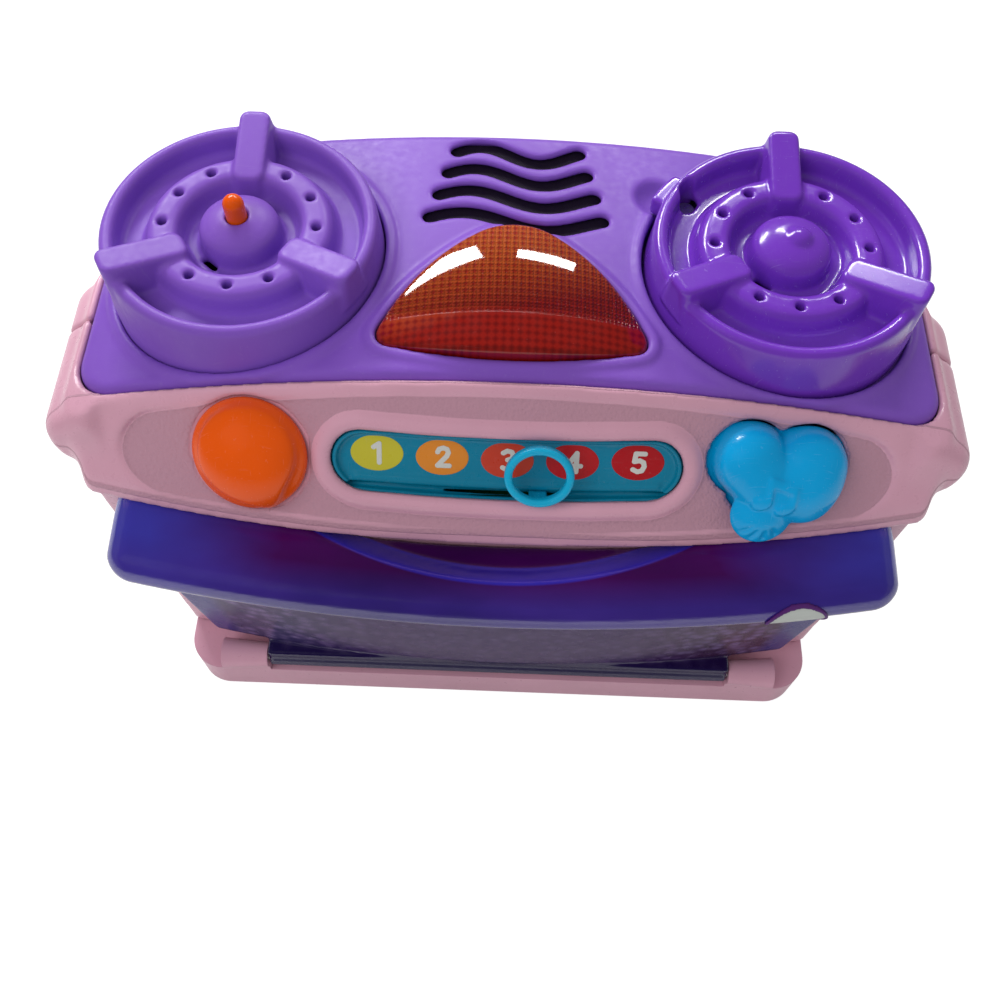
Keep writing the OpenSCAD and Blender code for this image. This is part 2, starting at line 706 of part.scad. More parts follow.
module rear_shell() color("lightpink") difference() {
    union() {
        shell_pair();
        intersection() {
            union() {
                for (p = [boss_plan[2], boss_plan[3]]) foot_boss(p);
                for (s = [-1, 1], z = boss_z) {
                    translate([s * boss_x, seam_y + 0.1, z]) rotate([-90, 0, 0]) cylinder(r = 5, h = 80, $fn = 48);
                    translate([s > 0 ? boss_x : -boss_x - 40, seam_y + 0.1, z - 1.2]) cube([40, 80, 2.4]);
                }
                // boss of the power switch
                translate([-18, 60, switch_z - 11]) cube([36, 30, 22]);
            }
            body_mass(1);
        }
    }
    translate([-160, seam_y + seam / 2 - 120, 0]) cube([320, 120, 220]);
    for (p = [boss_plan[2], boss_plan[3]]) translate([p[0], p[1], 0]) cylinder(r = screw_r + fit, h = 34, $fn = 32);
    for (s = [-1, 1], z = boss_z) translate([s * boss_x, 0, z]) rotate([-90, 0, 0]) {
        cylinder(r = screw_r + 0.2, h = 30, $fn = 32);
        translate([0, 0, seam_y + 6]) cylinder(r = 3.2, h = 100, $fn = 32);
    }
    // pocket and slot of the power switch, with the room behind it
    translate([-13, switch_y, switch_z - 6]) cube([26, 20, 12]);
    translate([-8, switch_y - 10, switch_z - 3]) cube([16, 20, 6]);
    translate([-14, 40, switch_z - 8]) cube([28, switch_y - wall - 40, 16]);
}

pan_front = -60;

module base_pan() color("pink") difference() {
    union() {
        translate([0, 0, 2]) linear_extrude(base_top - 2) rounded_plan(base_half, pan_front, back_y - 1, 14, 26);
        // feet
        for (s = [-1, 1]) {
            translate([s * 90.5 - 27.5, pan_front + 1, 0]) cube([55, 9, 3]);
            translate([s * 90.5 - 27.5, back_y - 14, 0]) cube([55, 9, 3]);
        }
        // knuckles that carry the hinge pins
        for (s = [-1, 1]) mirror([s < 0 ? 1 : 0, 0, 0]) {
            on_hinge() translate([0, 0, rod_half + run]) cylinder(r1 = 5, r2 = 6.4, h = 18.4, $fn = 48);
            translate([rod_half + run, hinge_y - 4, base_top - 1]) cube([18.4, 8, hinge_z - base_top]);
        }
    }
    // room inside
    difference() {
        translate([0, 0, 2 + 2.4]) linear_extrude(base_top - 2)
            rounded_plan(base_half - wall, pan_front + wall, back_y - 1 - wall, 14 - wall, 26 - wall);
        // deck under the hinge
        translate([-140, pan_front - 1, base_top - wall]) cube([280, 22, 20]);
        for (p = boss_plan) translate([p[0], p[1], 0]) cylinder(r = 5, h = base_top, $fn = 48);
        // stiffening ribs
        for (x = [-60, 0, 60]) translate([x - 0.9, pan_front, 0]) cube([1.8, 160, 9]);
        for (y = [-20, 30]) translate([-130, y - 0.9, 0]) cube([260, 1.8, 9]);
    }
    for (p = boss_plan) translate([p[0], p[1], 0]) {
        translate([0, 0, -1]) cylinder(r = screw_r + 0.2, h = 30, $fn = 32);
        translate([0, 0, 1]) cylinder(r = 3.2, h = 5, $fn = 32);
    }
    for (s = [-1, 1]) mirror([s < 0 ? 1 : 0, 0, 0])
        on_hinge() translate([0, 0, rod_half - 1]) cylinder(r = pin_r + fit, h = 16, $fn = 48);
}

module shell_screws() color("silver") for (s = [-1, 1], z = boss_z)
    translate([s * boss_x, seam_y + 6, z]) rotate([-90, 0, 0]) screw(2.9, 2.2, 18);

module base_screws() color("silver") for (p = boss_plan)
    translate([p[0], p[1], 6]) rotate([180, 0, 0]) screw(2.9, 2.2, 24);

// ---------- oven ----------

liner_wall = 2;

module oven_liner() color("plum") difference() {
    union() {
        translate([-mouth_half - liner_wall, lip_y + 30, mouth_z0 - liner_wall])
            cube([2 * (mouth_half + liner_wall), oven_back - lip_y - 30 + liner_wall, mouth_z1 - mouth_z0 + 2 * liner_wall]);
        intersection() {
            translate([-mouth_half - liner_wall, lip_y, mouth_z0 - liner_wall])
                cube([2 * (mouth_half + liner_wall), 40, mouth_z1 - mouth_z0 + 2 * liner_wall]);
            bow(bay_r - wall - seam, 0, 220);
        }
        // flange behind the front wall
        intersection() {
            difference() {
                bow(bay_r - wall - seam, mouth_z0 - 6, mouth_z1 + 6);
                bow(bay_r - wall - seam - liner_wall, 0, 220);
            }
            translate([-mouth_half - 8, -80, 0]) cube([2 * mouth_half + 16, 80, 220]);
        }
    }
    difference() {
        translate([-mouth_half, -80, mouth_z0]) cube([2 * mouth_half, oven_back + 80, mouth_z1 - mouth_z0]);
        // rails for a rack
        for (s = [-1, 1], z = [64, 80, 96]) translate([s * (mouth_half - 1.5) - 1.6, -30, z]) cube([3.2, oven_back + 20, 2.4]);
    }
    // room for the front foot bosses at the flange's lower corners
    for (s = [-1, 1]) translate([s * boss_plan[1][0], boss_plan[1][1], 0]) cylinder(r = 4.4, h = 40, $fn = 48);
}

// ---------- door ----------

function ry(y) = bow_y - y;         // distance of a Y from the bow's centre

door_back = ry(lip_y) - 5.6;
door_foot = hinge_z + 7;

// upright section of the door as [radius, z], shrunk by t
function door_section(t) = concat(
    [[door_back - 8, door_foot + t], [ry(-58.6) - t, door_foot + t], [ry(-66) - t, 110 + t * 0.4]],
    arc([ry(nose_y + 9) - 2, 121.5], 7 - t, -100, -40, 4), arc([ry(nose_y + 7.5), 128], 7.5 - t, -30, 60, 7),
    [[ry(-60) - t, door_top - t], [door_back - 8, door_top - t]]);

module door_mass(t) intersection() {
    translate([0, bow_y, 0]) rotate([0, 0, -110]) rotate_extrude(angle = 40, $fn = 720) polygon(door_section(t));
    translate([0, 0, 0]) rotate([90, 0, 0]) linear_extrude(120) polygon([
        [-114 + t, 0], [-122 + t, 108], [-bar_half + t, 116 + t], [-bar_half + t, 160],
        [bar_half - t, 160], [bar_half - t, 116 + t], [122 - t, 108], [114 - t, 0]]);
}

module bar_corner(side) translate([0, bow_y, 100]) rotate([0, 0, side * asin((bar_half + 1) / ry(nose_y))])
    mirror([side < 0 ? 1 : 0, 0, 0]) translate([0, nose_y - bow_y, 0]) linear_extrude(60) difference() {
        translate([-14, -6]) square([30, 20]);
        translate([-14, 14]) circle(r = 14);
    }

module door_panel() color("slateblue", 0.75) difference() {
    union() {
        difference() {
            door_mass(0);
            difference() {
                door_mass(door_wall);
                // floor of the finger scoop
                translate([0, scoop_y, scoop_z - door_wall]) cylinder(r = scoop_r + door_wall, h = 40, $fn = 240);
            }
            translate([0, scoop_y, scoop_z]) cylinder(r = scoop_r, h = 40, $fn = 240);
            bow(door_back, 0, 220);
            for (s = [-1, 1]) bar_corner(s);
        }
        on_hinge() translate([0, 0, -rod_half]) cylinder(r = rod_r, h = 2 * rod_half);
        difference() {
            translate([-rod_half, hinge_y - 2.4, hinge_z + 1.5]) cube([2 * rod_half, 14, door_foot - hinge_z + 0.5]);
            bow(door_back, 0, 220);
            // the web stays behind the window's foot
            difference() {
                translate([-150, -80, hinge_z + rod_r - 0.6]) cube([300, 60, 20]);
                bow(ry(-58), 0, 220);
            }
        }
    }
    for (s = [-1, 1]) mirror([s < 0 ? 1 : 0, 0, 0])
        on_hinge() translate([0, 0, rod_half - pin_reach]) cylinder(r = pin_r + fit, h = pin_reach + 1, $fn = 48);
}

scoop_half = 55;
scoop_depth = 13;
scoop_r = (pow(scoop_half, 2) + pow(scoop_depth, 2)) / (2 * scoop_depth);
scoop_y = lip_y - scoop_depth - 1 + scoop_r;
scoop_z = 131;

module door_inner() color("rebeccapurple") {
    intersection() {
        difference() {
            bow(door_back + 2.2, door_foot + door_wall + seam, scoop_z - door_wall - seam);
            bow(door_back, 0, 220);
        }
        translate([-110.5, -80, 0]) cube([221, 80, 220]);
    }
    // tongue that the catch holds
    translate([-8, lip_y + 4, mouth_z1 - 6]) cube([16, 11, 2]);
}

module door_picture() color("thistle") intersection() {
    difference() {
        bow(door_back + door_wall + 0.5, door_foot + 6, 106);
        bow(door_back + door_wall - 0.1, 0, 220);
    }
    translate([-108, -80, 0]) cube([216, 80, 220]);
}

badge_x = 92;

// thin oval that lies on the bar's lower front
module door_badge() color("lightgray") intersection() {
    difference() {
        door_mass(-0.6);
        door_mass(0);
    }
    translate([badge_x, -70, 122]) rotate([120, 0, 0]) linear_extrude(20) scale([1.55, 1]) circle(r = 7);
}

module hinge_pins() color("silver") for (s = [-1, 1]) mirror([s < 0 ? 1 : 0, 0, 0])
    on_hinge() translate([0, 0, rod_half - pin_reach + 0.3]) cylinder(r = pin_r, h = pin_reach + 14, $fn = 48);

module door_catch() color("silver") {
    translate([-7, -44, mouth_z1 - 0.8]) cube([14, 12, 0.8]);
    translate([-7, -44, mouth_z1 - 2.4]) cube([14, 0.8, 2.4]);
}

// ---------- number slider ----------

track_floor = -5;
slit_s = 6.6;

module number_track() color("darkcyan") difference() {
    union() {
        // flange behind the fascia
        intersection() {
            on_fascia() translate([0, -control_s, -12]) linear_extrude(20) stadium(slot_half + 4, slot_h + 4);
            difference() {
                under_fascia(wall + seam);
                under_fascia(wall + seam + 1.8);
            }
        }
        on_fascia() translate([0, -control_s, track_floor - 2]) linear_extrude(4) stadium(slot_half - seam, slot_h - seam);
        on_fascia() translate([0, -control_s, track_floor - 2]) linear_extrude(2) stadium(slot_half + 2, slot_h + 2);
        // rails of the carriage
        on_fascia() for (v = [-10.4, 6.8]) translate([-52, -control_s + v, track_floor - 4.4]) cube([104, 1.6, 3]);
    }
    on_fascia() translate([0, -control_s, track_floor]) linear_extrude(20) stadium(slot_half - 1.8, slot_h - 1.8);
    on_fascia() translate([-48, -control_s - slit_s - 1.2, -20]) cube([96, 2.4, 40]);
}

ring_n = 3.2;
carriage_n = track_floor - 2 - 2 * seam;     // face of the carriage towards the track

module at_slider() on_fascia() translate([ring_x, -control_s, 0]) children();

module slider_ring() color("deepskyblue") at_slider() {
    translate([0, -1, ring_n]) rotate_extrude($fn = 64) translate([ring_d / 2 - 1.5, 0]) circle(r = 1.5, $fn = 24);
    // stem from the ring through the slit to the carriage
    translate([-3, -slit_s - 0.8, carriage_n]) cube([6, 1.6, ring_n - carriage_n]);
    translate([-3, -slit_s - 2.6, ring_n - 1.2]) cube([6, 3.4, 2.4]);
}

module slider_carriage() color("white") at_slider() translate([-9, -8.5, carriage_n - 2]) cube([18, 15, 2]);

module slider_contacts() color("goldenrod") at_slider() for (x = [-5, 5]) {
    translate([x - 1, -6, carriage_n - 2.4]) cube([2, 11, 0.4]);
    translate([x - 1, 4, board_n + 0.3]) cube([2, 1, carriage_n - 2.4 - board_n]);
}

// ---------- knob and hat button ----------

knob_dome = 11;

module knob_form(d, h) rotate_extrude() polygon(concat([[0, 0], [d / 2, 0], [d / 2, 2]],
    [for (i = [1:9]) [d / 2 * cos(10 * i), 2 + (h - 2) * sin(10 * i)]]));

module timer_knob() color("darkorange") fascia_spot(knob_x, control_s) difference() {
    union() {
        translate([0, 0, -1.7]) knob_form(knob_d, knob_dome);
        // finger grip, wide at the hub and narrow at the pointer
        rotate([0, 0, -62]) intersection() {
            translate([0, 0, -1.7]) knob_form(knob_d, knob_dome + 3.4);
            linear_extrude(30) polygon(concat(arc([-5, 0], 9, 60, 300, 10), [[knob_d / 2 - 2, -4], [knob_d / 2 - 0.4, 0],
                [knob_d / 2 - 2, 4]]));
        }
        // drive shaft
        translate([0, 0, knob_switch_n + 0.6]) cylinder(r = 3, h = 1 - knob_switch_n, $fn = 48);
    }
    translate([0, 0, -3]) difference() {
        cylinder(r = knob_d / 2 - 2.4, h = 4.4);
        cylinder(r = 5, h = 5);
    }
}

knob_switch_n = board_n + 4.7;      // foot of the rotary switch, from the fascia's face at the knob

// half space in front of the control board, whose face is flat while the fascia is bowed
module over_board() on_fascia() translate([-150, -80, board_n]) cube([300, 100, 40]);

module knob_switch() color("dimgray") difference() {
    intersection() {
        fascia_spot(knob_x, control_s) translate([-7, -7, knob_switch_n - 4]) cube([14, 14, 9]);
        over_board();
    }
    fascia_spot(knob_x, control_s) translate([0, 0, knob_switch_n]) cylinder(r = 3 + fit, h = 12, $fn = 48);
}

// circles [x, y, r] of a baker's hat: two puffs, its lower right, its middle, and the band
hat_puffs = [[-8.2, 4.5, 11.7], [9.5, 2.4, 12.6], [8.5, -4.1, 12], [-3, -3.1, 12.5]];
hat_band = [-3.6, -11.6, 11.3];
band_rise = hat_travel + 0.7;       // gap under the band, which overhangs the fascia
hat_flange_n = -wall - 0.55;        // flange that stops the button behind the fascia's bowed wall
plunger_n = -9.4;                   // end of the plunger towards the rubber dome

module hat_plan(g) for (c = hat_puffs) translate([c[0], c[1]]) circle(r = c[2] + g);

module hat_button() color("deepskyblue") difference() {
    hat_form();
    // room for the ledge of the cooktop, above the back of the button
    difference() {
        fascia_spot(hat_x, control_s) translate([-30, -30, -wall - 20]) cube([60, 60, 20]);
        under_crown(skirt_floor + wall + run);
    }
    // room for the wall behind the door's top
    door_bay(wall + hat_travel + run);
}

module hat_form() fascia_spot(hat_x, control_s) {
    intersection() {
        translate([0, 0, hat_flange_n - 2]) linear_extrude(30) hat_plan(0);
        union() {
            for (c = hat_puffs) translate([c[0], c[1], -4.6]) sphere(r = c[2] + 2.5, $fn = 64);
            translate([-30, -30, -7]) cube([60, 60, 8]);
        }
    }
    difference() {
        intersection() {
            translate([hat_band[0], hat_band[1], band_rise]) cylinder(r = hat_band[2], h = 20);
            translate([hat_band[0], hat_band[1], -6.4]) sphere(r = hat_band[2] + 3, $fn = 64);
        }
        // pleats
        for (a = [-160:20:-40]) translate([hat_band[0], hat_band[1], 3.4]) rotate([0, 0, a])
            translate([9.5, 0, 0]) rotate([0, 70, 0]) cylinder(r = 0.7, h = 12, center = true, $fn = 16);
    }
    // flange that stops the button under the fascia, and its plunger
    translate([0, 0, hat_flange_n - 2]) linear_extrude(2) hat_plan(2);
    translate([0, 0, plunger_n]) cylinder(r = 3, h = hat_flange_n - 1 - plunger_n, $fn = 32);
}

hat_pad_n = board_n + 4.9;          // foot of the rubber dome's cone
hat_pad_h = plunger_n - hat_travel - 0.3 - hat_pad_n;

module hat_pad() color("gray") intersection() {
    fascia_spot(hat_x, control_s) {
        translate([0, 0, hat_pad_n - 4]) cylinder(r = 6, h = 4, $fn = 48);
        translate([0, 0, hat_pad_n]) cylinder(r1 = 6, r2 = 3.6, h = hat_pad_h, $fn = 48);
    }
    over_board();
}

// places of the control board's posts
post_x = [-111, 111];
post_s = [24, 41];

module control_board() color("seagreen") on_fascia() difference() {
    translate([-115, -46, board_n - 1.8]) cube([230, 26, 1.6]);
    for (x = post_x, s = post_s) translate([x, -s, board_n - 3]) cylinder(r = 1.2, h = 4, $fn = 24);
}

module board_screws() color("silver") for (x = post_x, s = post_s)
    on_fascia() translate([x, -s, board_n - 1.8]) rotate([180, 0, 0]) {
        cylinder(r = 2, h = 1.4, $fn = 32);
        translate([0, 0, -7.4]) cylinder(r = 1, h = 7.5, $fn = 32);
    }

// ---------- main board and power switch ----------

module main_board() color("seagreen") translate([-64, 0, mouth_z1 + liner_wall]) {
    translate([0, 0, 6]) cube([92, 46, 1.6]);
    for (x = [5, 87], y = [5, 41]) translate([x, y, seam]) cylinder(r = 2.5, h = 6 - seam, $fn = 32);
}

module board_chips() color("dimgray") translate([-64, 0, mouth_z1 + liner_wall + 7.6]) {
    translate([34, 16, 0]) cylinder(r = 7, h = 2.4, $fn = 48);
    translate([60, 10, 0]) cube([12, 8, 2]);
    translate([14, 26, 0]) cylinder(r = 3.2, h = 9, $fn = 32);
    translate([70, 30, 0]) cube([10, 6, 5]);
}

switch_z = 150;
switch_y = rear_y(switch_z) - 3.4;

module power_switch() color("dimgray") difference() {
    translate([-10, switch_y - wall - 9, switch_z - 5]) cube([20, 9 - seam, 10]);
    translate([-8, switch_y - wall - 5, switch_z - 2]) cube([16, 6, 4]);
}

module power_slider() color("mediumpurple") {
    translate([-3, switch_y + run, switch_z - 4.4]) cube([6, 2.4, 8.8]);
    translate([-2, switch_y - wall - 3, switch_z - 1.6]) cube([4, wall + 3.6, 3.2]);
}

cooktop();
front_shell();
rear_shell();
base_pan();
window_lens();
light_box();
led_board();
leds();
battery_cover();
cover_screw();
battery_case();
battery_cells();
battery_contacts();
pot_nub();
nub_spring();
nub_switch();
nub_board();
speaker();
oven_liner();
door_panel();
door_inner();
door_picture();
door_badge();
hinge_pins();
door_catch();
number_track();
slider_ring();
slider_carriage();
slider_contacts();
timer_knob();
knob_switch();
hat_button();
hat_pad();
control_board();
board_screws();
main_board();
board_chips();
power_switch();
power_slider();
shell_screws();
base_screws();
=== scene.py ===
"""Looks of the toy oven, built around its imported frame.

Lengths are millimetres, scaled to metres at the end. Material nodes work in metres.
"""

import json
import math

import bpy
import numpy as np
import openvdb as vdb
from mathutils import Matrix, Vector


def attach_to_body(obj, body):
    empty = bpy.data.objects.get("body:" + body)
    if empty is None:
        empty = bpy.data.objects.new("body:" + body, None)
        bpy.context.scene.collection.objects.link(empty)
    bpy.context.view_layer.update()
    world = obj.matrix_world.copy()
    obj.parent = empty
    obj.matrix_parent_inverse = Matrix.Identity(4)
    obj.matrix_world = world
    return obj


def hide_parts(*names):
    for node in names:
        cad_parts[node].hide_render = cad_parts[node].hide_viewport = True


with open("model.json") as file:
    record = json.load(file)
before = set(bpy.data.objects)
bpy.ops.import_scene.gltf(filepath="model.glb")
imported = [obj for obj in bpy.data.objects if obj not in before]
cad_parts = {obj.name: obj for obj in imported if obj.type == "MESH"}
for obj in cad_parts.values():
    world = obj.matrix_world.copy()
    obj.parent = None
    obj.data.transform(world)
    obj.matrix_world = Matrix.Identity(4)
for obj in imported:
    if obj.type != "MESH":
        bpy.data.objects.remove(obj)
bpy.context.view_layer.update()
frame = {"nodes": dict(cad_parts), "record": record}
MM = 0.001


def shift(*place):
    """Moves by millimetres."""
    return Matrix.Translation(Vector(place) * MM)


# ---------- camera, floor and light ----------

def camera(place, elevation, azimuth, roll, lens):
    """Camera at the photograph's viewpoint, from angles in degrees."""
    e, a, r = (math.radians(v) for v in (elevation, azimuth, roll))
    ahead = Vector((-math.sin(a) * math.cos(e), math.cos(a) * math.cos(e), -math.sin(e)))
    right = Vector((math.cos(a), math.sin(a), 0))
    down = ahead.cross(right)
    x_axis = right * math.cos(r) - down * math.sin(r)
    y_axis = -(right * math.sin(r) + down * math.cos(r))
    data = bpy.data.cameras.new("camera")
    data.sensor_width = 36
    data.lens = lens
    data.clip_start = 0.01
    obj = bpy.data.objects.new("camera", data)
    obj.matrix_world = shift(*place) @ Matrix((x_axis, y_axis, -ahead)).transposed().to_4x4()
    bpy.context.collection.objects.link(obj)
    bpy.context.scene.camera = obj


def area_light(name, place, target, size, power, seen=True):
    """A rectangular lamp that faces a target; one that is not seen leaves no reflection."""
    data = bpy.data.lights.new(name, "AREA")
    data.shape = "RECTANGLE"
    data.size, data.size_y = (s * MM for s in size)
    data.energy = power
    obj = bpy.data.objects.new(name, data)
    obj.location = Vector(place) * MM
    obj.rotation_euler = (Vector(target) - Vector(place)).to_track_quat("-Z", "Y").to_euler()
    obj.visible_glossy = seen
    bpy.context.collection.objects.link(obj)


def world_light(strength, reflected):
    """Soft grey room light; the camera sees plain white."""
    world = bpy.data.worlds.new("room")
    bpy.context.scene.world = world
    world.use_nodes = True
    nodes, links = world.node_tree.nodes, world.node_tree.links
    nodes.clear()
    out = nodes.new("ShaderNodeOutputWorld")
    path = nodes.new("ShaderNodeLightPath")
    room, white, glint = (nodes.new("ShaderNodeBackground") for _ in range(3))
    for node, power in ((room, strength), (white, 1), (glint, reflected)):
        node.inputs["Strength"].default_value = power
    first, second = (nodes.new("ShaderNodeMixShader") for _ in range(2))
    for mix, ray, plain, other in ((first, "Is Glossy Ray", room, glint), (second, "Is Camera Ray", first, white)):
        links.new(path.outputs[ray], mix.inputs["Fac"])
        links.new(plain.outputs[0], mix.inputs[1])
        links.new(other.outputs[0], mix.inputs[2])
    links.new(second.outputs[0], out.inputs["Surface"])


def floor():
    """Plain white floor that keeps a faint shadow."""
    half = 3.0
    mesh = bpy.data.meshes.new("floor")
    mesh.from_pydata([(-half, -half, 0), (half, -half, 0), (half, half, 0), (-half, half, 0)], [], [(0, 1, 2, 3)])
    obj = bpy.data.objects.new("floor", mesh)
    bpy.context.collection.objects.link(obj)
    mat = bpy.data.materials.new("floor_white")
    mat.use_nodes = True
    nodes, links = mat.node_tree.nodes, mat.node_tree.links
    nodes.clear()
    out = nodes.new("ShaderNodeOutputMaterial")
    path = nodes.new("ShaderNodeLightPath")
    matte = nodes.new("ShaderNodeBsdfDiffuse")
    matte.inputs["Color"].default_value = (0.8, 0.8, 0.8, 1)
    shade = nodes.new("ShaderNodeBsdfDiffuse")
    shade.inputs["Color"].default_value = (0.22, 0.22, 0.22, 1)
    glow = nodes.new("ShaderNodeEmission")
    glow.inputs["Strength"].default_value = 0.92
    seen = nodes.new("ShaderNodeAddShader")
    mix = nodes.new("ShaderNodeMixShader")
    links.new(shade.outputs[0], seen.inputs[0])
    links.new(glow.outputs[0], seen.inputs[1])
    links.new(path.outputs["Is Camera Ray"], mix.inputs["Fac"])
    links.new(matte.outputs[0], mix.inputs[1])
    links.new(seen.outputs[0], mix.inputs[2])
    links.new(mix.outputs[0], out.inputs["Surface"])
    mesh.materials.append(mat)


bpy.context.scene.view_settings.view_transform = "Standard"
camera((-1.6, -197.5, 434.9), 61.949, 0.033, 2.149, 37.4)
floor()
world_light(0.6, 0.14)
area_light("window_left", (-395, 785, 790), (0, 10, 188), (480, 130), 7)
area_light("window_right", (170, 845, 815), (8, 15, 188), (310, 80), 3.2)
area_light("room_fill", (-480, -420, 900), (0, 0, 120), (700, 600), 3.6, seen=False)


# ---------- main sizes, in millimetres ----------

CREST = 185.0                               # height of the crown's ridge
CROWN_R = (120 ** 2 + 14 ** 2) / 28         # the crown falls 14 over a half width of 120
TILT = math.radians(38)                     # lean of the fascia
BOW_R, BOW_Y = 636.0, 578.0                 # bow of the front in plan, and its centre
FACE_R = BOW_R / math.cos(TILT)             # the same bow on the fascia's slope
FACE_Y = -25.2                              # where the fascia meets the ridge
LINE = 27.3                                 # how far down the slope the controls lie
BURNER = (84.1, 22.0, 195.0)                # right burner's middle, the left one mirrored
DRUM = 43.6                                 # radius of a burner's foot
WELL = 174.4                                # bed of the battery well
LATCH = 143                                 # where the cover's latch lies, in degrees
TOP = 134.5                                 # half width of the cooktop
PUFFS = ((-8.2, 4.5, 11.7), (9.5, 2.4, 12.6), (8.5, -4.1, 12.0), (-1.8, -3.3, 11.6))  # hat's lobes: x, y, radius
KNOB_X, HAT_X = -78.5, 81.5                 # knob and hat button
SCOOP_Y, SCOOP_R = 69.0, (46 ** 2 + 9 ** 2) / 18    # front and radius of the finger scoop
ROD_Y, ROD_Z = -56.0, 27.0                  # axis of the door's hinge
DOOR_R = 630.4                              # back of the door, from the bow's centre
WALL = 2.6                                  # thickness of the shells
SEAM = 6.0                                  # where the front and rear shells meet
RIM = 20.2                                  # lower edge of the shells


# ---------- materials ----------

class Nodes:
    """Short calls that build a material's node tree."""

    def __init__(self, name, mat=None):
        self.mat = mat or bpy.data.materials.new(name)
        self.mat.use_nodes = True
        self.tree = self.mat.node_tree
        self.shader = self.tree.nodes["Principled BSDF"]
        self.coords = self.tree.nodes.new("ShaderNodeTexCoord").outputs["Object"]

    def feed(self, socket, value):
        """Links an input to another node's output, or sets it to a plain value."""
        if isinstance(value, bpy.types.NodeSocket):
            self.tree.links.new(value, socket)
        else:
            socket.default_value = value

    def new(self, kind, **values):
        """Adds a node; values are its inputs or its settings."""
        node = self.tree.nodes.new(kind)
        for key, value in values.items():
            if key in node.inputs.keys():
                self.feed(node.inputs[key], value)
            else:
                setattr(node, key, value)
        return node

    def put(self, name, value):
        """Sets one of the shader's inputs, or links to it."""
        self.feed(self.shader.inputs[name], value)

    def taken(self, name):
        """The output that one of the shader's inputs is linked to."""
        return self.shader.inputs[name].links[0].from_socket

    def axes(self):
        """The object's coordinates, one output each."""
        return self.new("ShaderNodeSeparateXYZ", Vector=self.coords).outputs[:3]

    def pebbles(self, scale, smooth, spread):
        """Distance from the nearest of scattered points."""
        node = self.new("ShaderNodeTexVoronoi", feature="SMOOTH_F1", Vector=self.coords, Scale=scale,
                        Smoothness=smooth, Randomness=spread)
        return node.outputs["Distance"]

    def noise(self, scale, detail=3.0, stretch=(1, 1, 1), roughness=0.5):
        """Noise with scale in features per metre, stretched along the axes."""
        place = self.new("ShaderNodeMapping", Vector=self.coords, Scale=stretch).outputs["Vector"]
        node = self.new("ShaderNodeTexNoise", Vector=place, Scale=scale, Detail=detail, Roughness=roughness)
        return node.outputs["Fac"]

    def uneven(self, scale, detail, out_lo, out_hi):
        """Noise between two values."""
        return self.ramp(self.noise(scale, detail), 0.3, 0.7, out_lo, out_hi)

    def ramp(self, value, lo, hi, out_lo=0.0, out_hi=1.0):
        """Maps value from lo..hi to out_lo..out_hi, clamped."""
        ends = {"From Min": lo, "From Max": hi, "To Min": out_lo, "To Max": out_hi}
        return self.new("ShaderNodeMapRange", Value=value, **ends).outputs["Result"]

    def math(self, kind, a, b=0.0):
        node = self.new("ShaderNodeMath", operation=kind)
        for socket, value in zip(node.inputs, (a, b)):
            self.feed(socket, value)
        return node.outputs[0]

    def blend(self, factor, first, second):
        """Colour mix of two colours or colour sockets."""
        node = self.new("ShaderNodeMix", data_type="RGBA")
        for i, value in ((0, factor), (6, first), (7, second)):     # the node's inputs for colours
            self.feed(node.inputs[i], value)
        return node.outputs[2]

    def reach(self, a, b):
        """Length of a line with the two sides a and b."""
        return self.math("SQRT", self.math("ADD", self.math("POWER", a, 2.0), self.math("POWER", b, 2.0)))

    def bump(self, height, distance, strength=1.0, normal=None):
        node = self.new("ShaderNodeBump", Height=height, Distance=distance, Strength=strength)
        if normal is not None:
            self.feed(node.inputs["Normal"], normal)
        return node.outputs["Normal"]


def srgb(r, g, b, a=1.0):
    """A colour from 0..255 display values to the linear values that shaders take."""
    return tuple(((v / 255 + 0.055) / 1.055) ** 2.4 if v > 10 else v / 255 / 12.92 for v in (r, g, b)) + (a,)


def tone(colour, factor):
    return tuple(min(1.0, c * factor) for c in colour[:3]) + (1.0,)


def plastic(name, colour, rough=0.3, grain=0.00002, grain_scale=1400, coat=0.0, specular=0.5, soft=0.0006):
    """Moulded plastic: uneven pigment, scratches and dust in the gloss, faint ripple, softened edges."""
    n = Nodes(name)
    cloud = n.noise(22, 4)
    pigment = n.blend(n.ramp(cloud, 0.35, 0.65), tone(colour, 0.93), tone(colour, 1.05))
    scratch_a = n.ramp(n.noise(160, 2, (1, 14, 1)), 0.63, 0.72)
    scratch_b = n.ramp(n.noise(160, 2, (16, 1, 2)), 0.64, 0.73)
    scratches = n.math("MAXIMUM", scratch_a, scratch_b)
    dust = n.ramp(n.noise(900, 1), 0.70, 0.76)
    worn = n.math("MAXIMUM", n.math("MULTIPLY", scratches, 0.35), n.math("MULTIPLY", dust, 0.5))
    pale = tuple(c * 0.8 + 0.12 for c in colour[:3]) + (1.0,)
    n.put("Base Color", n.blend(n.math("MULTIPLY", worn, 0.35), pigment, pale))
    gloss = n.uneven(420, 3, rough * 0.85, rough * 1.15)
    n.put("Roughness", n.math("ADD", gloss, n.math("MULTIPLY", worn, 0.18)))
    ripple = n.math("ADD", n.math("MULTIPLY", n.noise(grain_scale, 2), 0.7), n.math("MULTIPLY", n.noise(90, 2), 0.3))
    n.put("Specular IOR Level", specular)
    n.put("Coat Weight", coat)
    n.put("Coat Roughness", 0.08)
    edge = None
    if soft:
        edge = n.new("ShaderNodeBevel", samples=6, Radius=soft).outputs["Normal"]
    n.put("Normal", n.bump(ripple, grain, 1.0, edge))
    return n.mat


def between(n, value, lo, hi, edge):
    """1 where value lies between lo and hi, with soft edges."""
    return n.math("MULTIPLY", n.ramp(value, lo - edge, lo), n.ramp(value, hi, hi + edge, 1.0, 0.0))


